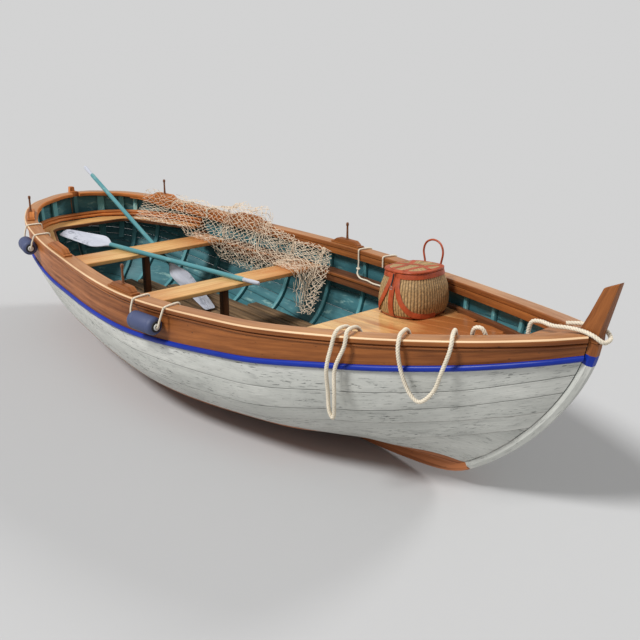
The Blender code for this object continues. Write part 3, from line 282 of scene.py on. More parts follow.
def skin_breadth(x, z):
    """Half breadth of the skin at a real x and height."""
    def point(head):
        half, sheer, foot_x, foot_z, bottom, side = [column(OFFSETS, k, head) for k in range(1, 7)]
        rise = min(max((sheer - z) / (sheer - foot_z), 0.0), 1.0)
        reach = (1 - rise ** side) ** (1 / bottom)
        return foot_x + (head - foot_x) * reach, RABBET_HALF + (half - RABBET_HALF) * reach

    a, b = LOW_X, HIGH_X
    for _ in range(30):
        middle = (a + b) / 2
        if point(middle)[0] < x:
            a = middle
        else:
            b = middle
    return point((a + b) / 2)[1]


BREADTHS = {}


def breadth_at(x, z, depth=0.0):
    """Half breadth at a real x and height, a depth inside the skin."""
    key = (round(x, 5), round(z, 5), depth)
    if key not in BREADTHS:
        half = skin_breadth(x, z)
        if depth:
            step = 0.01
            along = (skin_breadth(x + step, z) - skin_breadth(x - step, z)) / (2 * step)
            up = (skin_breadth(x, z + step) - skin_breadth(x, z - step)) / (2 * step)
            half -= depth * sqrt(1 + along * along + up * up)
        BREADTHS[key] = half
    return BREADTHS[key]


def fitted(x, z):
    """Half breadth between the ribs."""
    return breadth_at(x, z, RIB_IN + 0.001)


def sheer_at(x):
    return column(OFFSETS, 2, x)


def cap_top(x):
    return sheer_at(x) + CAP_GAP + CAP_THICK


def ledge_top(x):
    return sheer_at(x) - LEDGE_DROP


def plan_offset(x, inward):
    """Point of the sheer line in plan, moved square to it; never nearer the middle than the stem."""
    a, b = max(LOW_X, x - 0.012), min(HIGH_X, x + 0.012)
    run = Vector((b - a, column(OFFSETS, 1, b) - column(OFFSETS, 1, a))).normalized()
    normal = Vector((-run.y, run.x))
    return x - normal.x * inward, max(column(OFFSETS, 1, x) - normal.y * inward, RABBET_HALF + GAP)


CAP_LINES = {}


def cap_edge(x, inward):
    """Half breadth of a line along the cap, at a real x."""
    if inward not in CAP_LINES:
        CAP_LINES[inward] = [plan_offset(head, inward) for head in stations(90)]
    line = CAP_LINES[inward]
    k = max(i for i in range(len(line) - 1) if line[i][0] <= x)
    t = (x - line[k][0]) / (line[k + 1][0] - line[k][0])
    return line[k][1] + (line[k + 1][1] - line[k][1]) * t


def mirrored(points, side):
    return [Vector((p[0], p[1] * side, p[2])) for p in points]


# ---------------------------------------------------------------- shapes
def eased(outline, radius, steps=2):
    """A closed outline in two measures with its corners rounded."""
    out = []
    count = len(outline)
    for k in range(count):
        a, b, c = (Vector(outline[(k + d) % count]) for d in (-1, 0, 1))
        cut = min(radius, (a - b).length * 0.45, (c - b).length * 0.45)
        first, last = b + (a - b).normalized() * cut, b + (c - b).normalized() * cut
        for s in range(steps + 1):
            t = s / steps
            out.append(first * (1 - t) ** 2 + b * 2 * t * (1 - t) + last * t * t)
    return out


def keep(name, mesh, finishes, body="hull", replaces=(), slot=None, smooth=35):
    """File a mesh as a piece that rides on a body."""
    bm = bmesh.new()
    bm.from_mesh(mesh)
    bmesh.ops.recalc_face_normals(bm, faces=bm.faces)
    bm.to_mesh(mesh)
    bm.free()
    for finish in finishes:
        mesh.materials.append(finish)
    if smooth:
        mesh.shade_smooth()
        mesh.set_sharp_from_angle(angle=radians(smooth))
    piece = bpy.data.objects.new(name, mesh)
    bpy.context.scene.collection.objects.link(piece)
    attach(piece, body)
    if replaces:
        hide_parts(*replaces)
    return piece


class Solid:
    """Faces gathered from several lofts and boxes, with grain coordinates and an edge measure."""

    def __init__(self):
        self.points, self.faces, self.places, self.looks, self.rims = [], [], [], [], []
        self.shift = 0.0

    def loft(self, rings, look=0, closed=True, caps=True, along=None, rims=None, turn=False, each=False):
        """look is one slot or one for each gap round the ring; rims is 0 at a worn or dirty edge.

        The grain's breadth is the middle ring's, or with each every ring's own.
        """
        first = len(self.points)
        count = len(rings[0])
        self.shift += 3.7
        if along is None:
            along = [0.0]
            for a, b in zip(rings, rings[1:]):
                middles = [sum((Vector(p) for p in ring), Vector()) / count for ring in (a, b)]
                along.append(along[-1] + (middles[1] - middles[0]).length)
        breadths = []
        for ring in rings if each else [rings[len(rings) // 2]]:
            around = [0.0]
            for k in range(count):
                around.append(around[-1] + (Vector(ring[(k + 1) % count]) - Vector(ring[k])).length)
            breadths.append(around)
        if not each:
            breadths = breadths * len(rings)
        for ring in rings:
            self.points += [tuple(p) for p in ring]
            self.rims += list(rims) if rims else [1.0] * count
        looks = look if isinstance(look, (list, tuple)) else [look] * count

        def place(u, v):
            return (v + self.shift, u) if turn else (u + self.shift, v + self.shift)

        for r in range(len(rings) - 1):
            for k in range(count if closed else count - 1):
                j = (k + 1) % count
                a, b = first + r * count, first + (r + 1) * count
                self.faces.append((a + k, a + j, b + j, b + k))
                here, there = breadths[r], breadths[r + 1]
                self.places.append([place(along[r], here[k]), place(along[r], here[k + 1]),
                                    place(along[r + 1], there[k + 1]), place(along[r + 1], there[k])])
                self.looks.append(looks[k])
        if caps and closed:
            for r, order in ((0, 1), (len(rings) - 1, -1)):
                ring = list(range(count))[::order]
                self.faces.append([first + r * count + k for k in ring])
                around = breadths[r]
                self.places.append([(self.shift + around[k] * 0.15, self.shift + around[k]) for k in ring])
                self.looks.append(looks[0])
        return self

    def box(self, low, high, ease=0.003, axis=0, look=0, steps=1):
        """A board with eased edges, its grain along one axis."""
        first, second = [k for k in range(3) if k != axis]
        outline = eased([(low[first], low[second]), (high[first], low[second]),
                         (high[first], high[second]), (low[first], high[second])], ease, steps)
        rings = []
        for t, shrink in ((low[axis], 1), (low[axis] + ease, 0), (high[axis] - ease, 0), (high[axis], 1)):
            ring = []
            for a, b in outline:
                p = [0.0, 0.0, 0.0]
                p[axis] = t
                for index, value in ((first, a), (second, b)):
                    inner = min(max(value, low[index] + ease), high[index] - ease)
                    p[index] = inner if shrink else value
                ring.append(p)
            rings.append(ring)
        return self.loft(rings, look)

    def piece(self, name, finishes, **words):
        mesh = bpy.data.meshes.new(name)
        mesh.from_pydata(self.points, [], self.faces)
        layer = mesh.uv_layers.new(name="grain")
        layer.data.foreach_set("uv", [v for face in self.places for place in face for v in place])
        mesh.polygons.foreach_set("material_index", self.looks)
        rim = mesh.attributes.new("rim", "FLOAT", "POINT")
        rim.data.foreach_set("value", self.rims)
        return keep(name, mesh, finishes, **words)


def smooth_route(points, spacing, turn=pi):
    """Points along a smooth curve through the given ones, closer together where it turns more."""
    pts = [Vector(p) for p in points]
    pts = [2 * pts[0] - pts[1]] + pts + [2 * pts[-1] - pts[-2]]
    fine = []
    for a, b, c, d in zip(pts, pts[1:], pts[2:], pts[3:]):
        for k in range(16):
            t = k / 16
            fine.append(0.5 * (2 * b + (c - a) * t + (2 * a - 5 * b + 4 * c - d) * t * t
                               + (3 * b - a - 3 * c + d) * t ** 3))
    fine.append(pts[-2])
    out, walked, turned = [fine[0]], 0.0, 0.0
    for a, b, c in zip(fine, fine[1:], fine[2:]):
        walked += (b - a).length
        turned += (b - a).angle(c - b)
        if walked >= spacing or turned >= turn:
            out.append(b)
            walked, turned = 0.0, 0.0
    if walked < spacing / 3 and len(out) > 2:
        out.pop()
    out.append(fine[-1])
    return out


def even_route(points, spacing):
    """The same line with its points an equal distance apart."""
    lengths = [0.0]
    for a, b in zip(points, points[1:]):
        lengths.append(lengths[-1] + (b - a).length)
    count = max(2, round(lengths[-1] / spacing))
    out = []
    for k in range(count + 1):
        goal = lengths[-1] * k / count
        i = min(max(bisect_left(lengths, goal), 1), len(lengths) - 1)
        span = max(lengths[i] - lengths[i - 1], 1e-9)
        out.append(points[i - 1].lerp(points[i], (goal - lengths[i - 1]) / span))
    return out, lengths[-1]


def carried_frames(route):
    """Two directions square to a line at each of its points, carried along it without twist."""
    frames = []
    side = None
    for k in range(len(route)):
        run = (route[min(k + 1, len(route) - 1)] - route[max(k - 1, 0)]).normalized()
        if side is None:
            side = run.orthogonal().normalized()
        side = (side - run * side.dot(run)).normalized()
        frames.append((side, run.cross(side)))
    return frames


def rope_rings(route, radius, pitch, sides, valley=0.30):
    """Sections of a rope of three strands laid round each other, and how far out each point is."""
    rings, rims = [], []
    for k, (point, (side, over)) in enumerate(zip(route, carried_frames(route))):
        walked = k * (route[1] - route[0]).length
        turn = tau * walked / pitch
        ring = []
        for s in range(sides):
            angle = tau * s / sides
            lobe = ((angle - turn) % (tau / 3)) / (tau / 3) * 2 - 1
            reach = radius * (1.02 - valley * lobe * lobe)
            ring.append(point + side * (reach * cos(angle)) + over * (reach * sin(angle)))
            rims.append(1 - lobe * lobe)
        rings.append(ring)
    return rings, rims


def laid_rope(name, points, radius, finish, step=0.004, sides=12, **words):
    """A three-strand rope along a line."""
    route, _ = even_route(smooth_route(points, 0.006), step)
    rings, rims = rope_rings(route, radius, radius * 4.4, sides)
    made = Solid().loft(rings)
    made.rims = rims
    return made.piece(name, [finish], smooth=70, **words)


def turned(name, profile, finish, place, sides=20, smooth=40, **words):
    """A turned piece: its outline of radius and height spun about an upright axis by a Screw."""
    mesh = bpy.data.meshes.new(name)
    mesh.from_pydata([(r, 0.0, z) for r, z in profile], [(k, k + 1) for k in range(len(profile) - 1)], [])
    spun = bpy.data.objects.new(name, mesh)
    bpy.context.scene.collection.objects.link(spun)
    screw = spun.modifiers.new("turned", "SCREW")
    screw.steps = screw.render_steps = sides
    screw.use_merge_vertices = True
    screw.merge_threshold = 0.00005
    bpy.context.view_layer.update()
    solid = bpy.data.meshes.new_from_object(spun.evaluated_get(bpy.context.evaluated_depsgraph_get()))
    bpy.data.objects.remove(spun, do_unlink=True)
    solid.transform(place)
    return keep(name, solid, [finish], smooth=smooth, **words)


# ---------------------------------------------------------------- finishes
class Nodes:
    """A node tree filled by short calls."""

    def __init__(self, tree):
        self.tree = tree

    def add(self, kind, sockets=(), **settings):
        node = self.tree.nodes.new("ShaderNode" + kind)
        for key, value in settings.items():
            setattr(node, key, value)
        for key, value in dict(sockets).items():
            self.feed(node.inputs[key], value)
        return node

    def feed(self, socket, value):
        if isinstance(value, bpy.types.NodeSocket):
            self.tree.links.new(value, socket)
        elif socket.type == "RGBA" and len(value) == 3:
            socket.default_value = (*value, 1.0)
        else:
            socket.default_value = value

    def mix(self, share, first, second, blend="MIX"):
        node = self.add("Mix", data_type="RGBA", blend_type=blend)
        for index, value in ((0, share), (6, first), (7, second)):
            self.feed(node.inputs[index], value)
        return node.outputs[2]

    def sum(self, operation, first, second=0.0, clamp=False):
        node = self.add("Math", operation=operation, use_clamp=clamp)
        self.feed(node.inputs[0], first)
        self.feed(node.inputs[1], second)
        return node.outputs[0]

    def fit(self, value, low, high, to_low=0.0, to_high=1.0):
        """A value fitted from one span to another, and held inside it."""
        return self.add("MapRange", {"Value": value, "From Min": low, "From Max": high,
                                     "To Min": to_low, "To Max": to_high}).outputs[0]

    def noise(self, place, scale, detail=3.0, roughness=0.55, distortion=0.0):
        """Cloudy values, stretched by a different scale along each axis."""
        stretched = self.add("Mapping", {"Vector": place, "Scale": scale}).outputs[0]
        return self.add("TexNoise", {"Vector": stretched, "Scale": 1.0, "Detail": detail,
                                     "Roughness": roughness, "Distortion": distortion}).outputs["Fac"]


def group(name, inputs, outputs):
    """A new node group with named sockets, and its own Nodes, inputs and output node."""
    tree = bpy.data.node_groups.new(name, "ShaderNodeTree")
    kinds = {"V": "NodeSocketVector", "C": "NodeSocketColor", "F": "NodeSocketFloat"}
    for words, way in ((inputs, "INPUT"), (outputs, "OUTPUT")):
        for label, kind in words:
            tree.interface.new_socket(label, in_out=way, socket_type=kinds[kind])
    return tree, Nodes(tree), (tree.nodes.new("NodeGroupInput"), tree.nodes.new("NodeGroupOutput"))


def wood_grain():
    """Grain along the first coordinate: figure, fibres and slow changes of tone."""
    found = bpy.data.node_groups.get("wood grain")
    if found:
        return found
    tree, n, (given, out) = group(
        "wood grain",
        (("Vector", "V"), ("Light", "C"), ("Dark", "C"), ("Figure", "F"), ("Spots", "F")),
        (("Color", "C"), ("Height", "F"), ("Tone", "F")))
    place = given.outputs["Vector"]
    figure = n.noise(place, (1.5, 38.0, 38.0), 5.0, 0.62, 0.7)
    fibres = n.noise(place, (5.0, 190.0, 190.0), 3.0, 0.6)
    tone = n.noise(place, (1.3, 6.0, 6.0), 4.0, 0.6)
    rings = n.add("TexWave", {"Vector": n.add("Mapping", {"Vector": place, "Scale": (0.35, 5.0, 5.0)}).outputs[0],
                              "Scale": 1.6, "Distortion": 7.0, "Detail": 3.0, "Detail Scale": 1.4},
                  wave_type="BANDS", bands_direction="Y").outputs["Fac"]
    lines = n.sum("ADD", n.sum("MULTIPLY", n.fit(figure, 0.32, 0.68), 0.5),
                  n.sum("MULTIPLY", rings, 0.20))
    lines = n.sum("MULTIPLY", lines, given.outputs["Figure"])
    value = n.sum("ADD", lines, n.sum("MULTIPLY", n.fit(fibres, 0.3, 0.7), 0.36))
    value = n.sum("ADD", value, n.fit(tone, 0.3, 0.7, -0.30, 0.30), clamp=True)
    colour = n.mix(value, given.outputs["Light"], given.outputs["Dark"])
    spots = n.noise(place, (26.0, 70.0, 70.0), 2.0, 0.4)
    spots = n.sum("MULTIPLY", n.fit(spots, 0.71, 0.76), given.outputs["Spots"], clamp=True)
    colour = n.mix(spots, colour, (0.035, 0.018, 0.010))
    n.feed(out.inputs["Color"], colour)
    n.feed(out.inputs["Height"], n.sum("SUBTRACT", n.sum("MULTIPLY", value, -0.6), spots))
    n.feed(out.inputs["Tone"], value)
    return tree


def worn_paint():
    """Paint that is mottled, scratched along the grain and rubbed through in places."""
    found = bpy.data.node_groups.get("worn paint")
    if found:
        return found
    tree, n, (given, out) = group(
        "worn paint",
        (("Vector", "V"), ("Paint", "C"), ("Shade", "C"), ("Under", "C"), ("Wear", "F"), ("Scratches", "F")),
        (("Color", "C"), ("Height", "F"), ("Worn", "F")))
    place = given.outputs["Vector"]
    mottle = n.fit(n.noise(place, (1.6, 5.0, 5.0), 6.0, 0.62), 0.36, 0.66)
    grain = n.fit(n.noise(place, (7.0, 150.0, 150.0), 3.0, 0.6), 0.34, 0.7)
    colour = n.mix(n.sum("MULTIPLY", mottle, 0.75), given.outputs["Paint"], given.outputs["Shade"])
    colour = n.mix(n.sum("MULTIPLY", grain, 0.45), colour, given.outputs["Shade"])
    where = n.fit(n.noise(place, (2.4, 7.0, 7.0), 3.0, 0.6), 0.42, 0.62)
    marks = n.fit(n.noise(place, (16.0, 120.0, 120.0), 3.0, 0.65, 0.4), 0.585, 0.64)
    marks = n.sum("MULTIPLY", n.sum("MULTIPLY", marks, n.fit(where, 0.0, 1.0, 0.25, 1.0)),
                  given.outputs["Scratches"], clamp=True)
    rubbed = n.fit(n.noise(place, (7.0, 22.0, 22.0), 6.0, 0.7, 0.3), 0.55, 0.61)
    rubbed = n.sum("MULTIPLY", n.sum("MULTIPLY", rubbed, where), given.outputs["Wear"], clamp=True)
    colour = n.mix(rubbed, colour, given.outputs["Under"])
    colour = n.mix(marks, colour, n.mix(0.55, given.outputs["Under"], given.outputs["Shade"], "MULTIPLY"))
    n.feed(out.inputs["Color"], colour)
    low = n.sum("ADD", n.sum("MULTIPLY", rubbed, 0.6), marks)
    n.feed(out.inputs["Height"], n.sum("SUBTRACT", n.sum("MULTIPLY", grain, -0.25), low))
    n.feed(out.inputs["Worn"], n.sum("MAXIMUM", rubbed, marks))
    return tree


def painted_seam_shade():
    """A colour darkened towards a piece's rims, unevenly, as dirt gathers along seams."""
    found = bpy.data.node_groups.get("painted seam shade")
    if found:
        return found
    tree, n, (given, out) = group(
        "painted seam shade", (("Color", "C"), ("Vector", "V"), ("Seam Shade", "C"), ("Amount", "F")), (("Color", "C"),))
    rim = n.add("Attribute", attribute_name="rim", attribute_type="GEOMETRY").outputs["Fac"]
    uneven = n.noise(given.outputs["Vector"], (5.0, 14.0, 14.0), 4.0, 0.6)
    near = n.sum("SUBTRACT", n.fit(uneven, 0.25, 0.7, 0.75, 1.25), rim, clamp=True)
    share = n.sum("MULTIPLY", near, given.outputs["Amount"], clamp=True)
    n.feed(out.inputs["Color"], n.mix(share, given.outputs["Color"], given.outputs["Seam Shade"]))
    return tree


def fibre_twist():
    """Fine yarns that run aslant round a rope, with soiled hollows."""
    found = bpy.data.node_groups.get("fibre twist")
    if found:
        return found
    tree, n, (given, out) = group(
        "fibre twist", (("Vector", "V"), ("Clean", "C"), ("Soiled", "C")), (("Color", "C"), ("Height", "F")))
    yarns = n.noise(given.outputs["Vector"], (140.0, 420.0, 1.0), 2.0)
    cloud = n.noise(given.outputs["Vector"], (14.0, 20.0, 1.0), 3.0)
    value = n.sum("ADD", n.sum("MULTIPLY", n.fit(yarns, 0.3, 0.7), 0.45),
                  n.sum("MULTIPLY", n.fit(cloud, 0.35, 0.65), 0.35), clamp=True)
    n.feed(out.inputs["Color"], n.mix(value, given.outputs["Clean"], given.outputs["Soiled"]))
    n.feed(out.inputs["Height"], yarns)
    return tree


def hide_grain():
    """Leather: pores, creases and a patchy tan."""
    found = bpy.data.node_groups.get("hide grain")
    if found:
        return found
    tree, n, (given, out) = group(
        "hide grain", (("Vector", "V"), ("Tan", "C"), ("Worn", "C")), (("Color", "C"), ("Height", "F")))
    pores = n.add("TexVoronoi", {"Vector": given.outputs["Vector"], "Scale": 420.0}).outputs["Distance"]
    creases = n.noise(given.outputs["Vector"], (60.0, 60.0, 60.0), 4.0, 0.6)
    patch = n.fit(n.noise(given.outputs["Vector"], (18.0, 18.0, 18.0), 4.0, 0.6), 0.38, 0.68)
    n.feed(out.inputs["Color"], n.mix(n.sum("MULTIPLY", patch, 0.8), given.outputs["Tan"], given.outputs["Worn"]))
    n.feed(out.inputs["Height"], n.sum("ADD", pores, n.sum("MULTIPLY", creases, 0.7)))
    return tree


def start(name):
    """A new material: its Nodes and its shader."""
    material = bpy.data.materials.new(name)
    material.use_nodes = True
    nodes = Nodes(material.node_tree)
    return material, nodes, material.node_tree.nodes["Principled BSDF"]


def relief(nodes, shader, height, distance, strength=1.0):
    """Lead a height into the shader's normal."""
    bump = nodes.add("Bump", {"Height": height, "Strength": strength, "Distance": distance})
    nodes.feed(shader.inputs["Normal"], bump.outputs[0])


def grain_place(nodes, coordinates):
    """Where a surface lies along its grain: its own map, or the frame's axes in an order."""
    if coordinates == "map":
        return nodes.add("UVMap", uv_map="grain").outputs[0]
    place = nodes.add("TexCoord").outputs["Object"]
    if coordinates == "x":
        return place
    split = nodes.add("SeparateXYZ", {"Vector": place})
    order = {"y": "YXZ", "z": "ZXY"}[coordinates]
    sockets = dict(zip("XYZ", (split.outputs[k] for k in order)))
    return nodes.add("CombineXYZ", sockets).outputs[0]


def varnished(name, light, dark, coordinates="map", rough=(0.34, 0.55), coat=0.15, figure=0.9, spots=0.0, seam_shade=0.0,
              tone_and_shade_shift=None):
    """Varnished or oiled wood; ripe names a colour that the light wood turns to along the boat, and where."""
    material, n, shader = start(name)
    place = grain_place(n, coordinates)
    if tone_and_shade_shift:
        axis, low, high, later = tone_and_shade_shift
        along = n.add("SeparateXYZ", {"Vector": n.add("TexCoord").outputs["Object"]}).outputs[axis]
        along = n.sum("ABSOLUTE", along) if axis == "Y" else along
        cloud = n.noise(place, (0.9, 4.0, 4.0), 4.0, 0.6)
        share = n.fit(n.sum("ADD", along, n.fit(cloud, 0.3, 0.7, -0.25, 0.25)), low, high)
        light = n.mix(share, light, later)
    wood = n.add("Group", {"Vector": place, "Light": light, "Dark": dark, "Figure": figure, "Spots": spots},
                 node_tree=wood_grain())
    colour = wood.outputs["Color"]
    # painted shade towards the rims, in a darkened grain colour
    if seam_shade:
        rims = n.add("Group", {"Color": colour, "Vector": place, "Seam Shade": [v * 0.3 for v in dark],
                               "Amount": seam_shade}, node_tree=painted_seam_shade())
        colour = rims.outputs["Color"]
    n.feed(shader.inputs["Base Color"], colour)
    n.feed(shader.inputs["Roughness"], n.fit(wood.outputs["Tone"], 0.0, 1.0, *rough))
    shader.inputs["Specular IOR Level"].default_value = 0.25
    shader.inputs["Coat Weight"].default_value = coat
    shader.inputs["Coat Roughness"].default_value = 0.22
    relief(n, shader, wood.outputs["Height"], 0.0006)
    return material


def painted(name, paint, shade, under, coordinates="map", rough=(0.5, 0.75), wear=0.5, scratches=0.8, seam_shade=0.0):
    """Painted wood that has weathered."""
    material, n, shader = start(name)
    place = grain_place(n, coordinates)
    worn = n.add("Group", {"Vector": place, "Paint": paint, "Shade": shade, "Under": under, "Wear": wear,
                           "Scratches": scratches}, node_tree=worn_paint())
    colour = worn.outputs["Color"]
    # painted shade towards the rims, in a darkened stain colour
    if seam_shade:
        rims = n.add("Group", {"Color": colour, "Vector": place, "Seam Shade": [v * 0.25 for v in shade],
                               "Amount": seam_shade}, node_tree=painted_seam_shade())
        colour = rims.outputs["Color"]
    n.feed(shader.inputs["Base Color"], colour)
    n.feed(shader.inputs["Roughness"], n.fit(worn.outputs["Worn"], 0.0, 1.0, *rough))
    shader.inputs["Specular IOR Level"].default_value = 0.25
    relief(n, shader, worn.outputs["Height"], 0.0007)
    return material


def roped(name, clean, dirt_and_shade):
    material, n, shader = start(name)
    twist = n.add("Group", {"Vector": grain_place(n, "map"), "Clean": clean, "Soiled": dirt_and_shade},
                  node_tree=fibre_twist())
    rim = n.add("Attribute", attribute_name="rim", attribute_type="GEOMETRY").outputs["Fac"]
    # the hollows between strands, where rim is low, take painted shade: the dirtier colour darkened to about a fifth
    n.feed(shader.inputs["Base Color"], n.mix(n.fit(rim, 0.0, 0.45), [v * 0.22 for v in dirt_and_shade],
                                              twist.outputs["Color"]))
    shader.inputs["Roughness"].default_value = 0.85
    relief(n, shader, twist.outputs["Height"], 0.0005)
    return material


def leathered(name, tan, worn, coordinates="map"):
    material, n, shader = start(name)
    hide = n.add("Group", {"Vector": grain_place(n, coordinates), "Tan": tan, "Worn": worn}, node_tree=hide_grain())
    n.feed(shader.inputs["Base Color"], hide.outputs["Color"])
    shader.inputs["Roughness"].default_value = 0.42
    relief(n, shader, hide.outputs["Height"], 0.0004)
    return material


def woven(name, cane, shadow):
    """Cane whose hollows, marked as rims, are dark."""
    material, n, shader = start(name)
    place = grain_place(n, "map")
    tone = n.fit(n.noise(place, (70.0, 70.0, 70.0), 3.0), 0.35, 0.65)
    colour = n.mix(tone, cane, [v * 0.55 for v in cane])
    rim = n.add("Attribute", attribute_name="rim", attribute_type="GEOMETRY").outputs["Fac"]
    colour = n.mix(n.fit(rim, 0.0, 0.55), shadow, colour)
    n.feed(shader.inputs["Base Color"], colour)
    shader.inputs["Roughness"].default_value = 0.6
    relief(n, shader, tone, 0.0004)
    return material


def moulded(name, colour, rough, mottle=0.25):
    """Rubber, plastic or metal with faint clouds and scuffs."""
    material, n, shader = start(name)
    place = grain_place(n, "map")
    clouds = n.fit(n.noise(place, (14.0, 14.0, 14.0), 4.0, 0.6), 0.35, 0.68)
    n.feed(shader.inputs["Base Color"], n.mix(n.sum("MULTIPLY", clouds, mottle), colour,
                                              [v * 1.5 + 0.02 for v in colour]))
    n.feed(shader.inputs["Roughness"], n.fit(clouds, 0.0, 1.0, rough, rough + 0.2))
    relief(n, shader, n.noise(place, (90.0, 90.0, 90.0), 2.0), 0.0003)
    return material


# ---------------------------------------------------------------- what a user sets
def tint(label, words, colour):
    return FloatVectorProperty(name=label, description=words, subtype="COLOR", size=3, min=0.0, max=1.0,
                               default=colour)


def length(label, words, value, low, high):
    return FloatProperty(name=label, description=words, default=value, min=low, max=high, unit="LENGTH",
                         precision=4)


class FishingBoatSizes(bpy.types.PropertyGroup):
    """Sizes of the trim and the gear."""
    plank_lip: length("Plank lip", "How far the edges of each plank are eased", 0.0035, 0.0005, 0.006)
    bead_height: length("Bead height", "Height of the moulding below the gunwale cap", 0.015, 0.006, 0.02)
    cap_ease: length("Cap easing", "Rounding of the gunwale cap's edges", 0.007, 0.001, 0.012)
    board_gap: length("Board gap", "Gap between deck and bench boards", 0.0016, 0.0005, 0.004)
    net_mesh: length("Net mesh", "Width of a mesh of the net", 0.040, 0.02, 0.08)
    net_twine: length("Net twine", "Thickness of the net's twine", 0.0036, 0.001, 0.008)
    cane_height: length("Cane height", "Height of a turn of cane on the creel", 0.0085, 0.004, 0.02)
    cane_columns: IntProperty(name="Cane columns", description="Columns of weave round the creel", default=64,
                              min=12, max=90)


class FishingBoatColours(bpy.types.PropertyGroup):
    """Colours of the paints, woods and gear."""
    varnish: tint("Varnish", "Varnished sides and caps", (0.50, 0.172, 0.044))
    varnish_dark: tint("Varnish grain", "Dark grain of the varnished wood", (0.125, 0.034, 0.009))
    pale: tint("Pale varnish", "Seats and foredeck", (0.86, 0.56, 0.23))
    pale_dark: tint("Pale varnish grain", "Dark grain of seats and foredeck", (0.50, 0.20, 0.05))
    brown: tint("Brown stain", "Mouldings, ledges and bottom planks", (0.24, 0.088, 0.032))
    brown_dark: tint("Brown stain grain", "Dark grain of the stained wood", (0.070, 0.024, 0.010))
    white: tint("White paint", "Topsides and oar blades", (0.71, 0.71, 0.66))
    white_shade: tint("White paint stains", "Stains in the white paint", (0.47, 0.48, 0.445))
    teal: tint("Teal paint", "Inside of the hull and oar shafts", (0.082, 0.245, 0.268))
    teal_shade: tint("Teal paint stains", "Stains in the teal paint", (0.025, 0.105, 0.13))
    teal_worn: tint("Worn teal", "Undercoat that shows through the teal", (0.26, 0.44, 0.41))
    blue: tint("Blue paint", "Rubbing band", (0.006, 0.032, 0.36))
    fender: tint("Fender", "Fender bodies", (0.052, 0.068, 0.150))
    rope: tint("Rope", "Mooring line and lashings", (0.90, 0.80, 0.63))
    twine: tint("Twine", "Fishing net", (0.92, 0.75, 0.56))
    cane: tint("Cane", "Weave of the creel", (0.54, 0.35, 0.155))
    leather: tint("Leather", "Straps and rims of the creel", (0.46, 0.080, 0.024))


SIDES = ((1, "port"), (-1, "starboard"))
LOOKS = {}


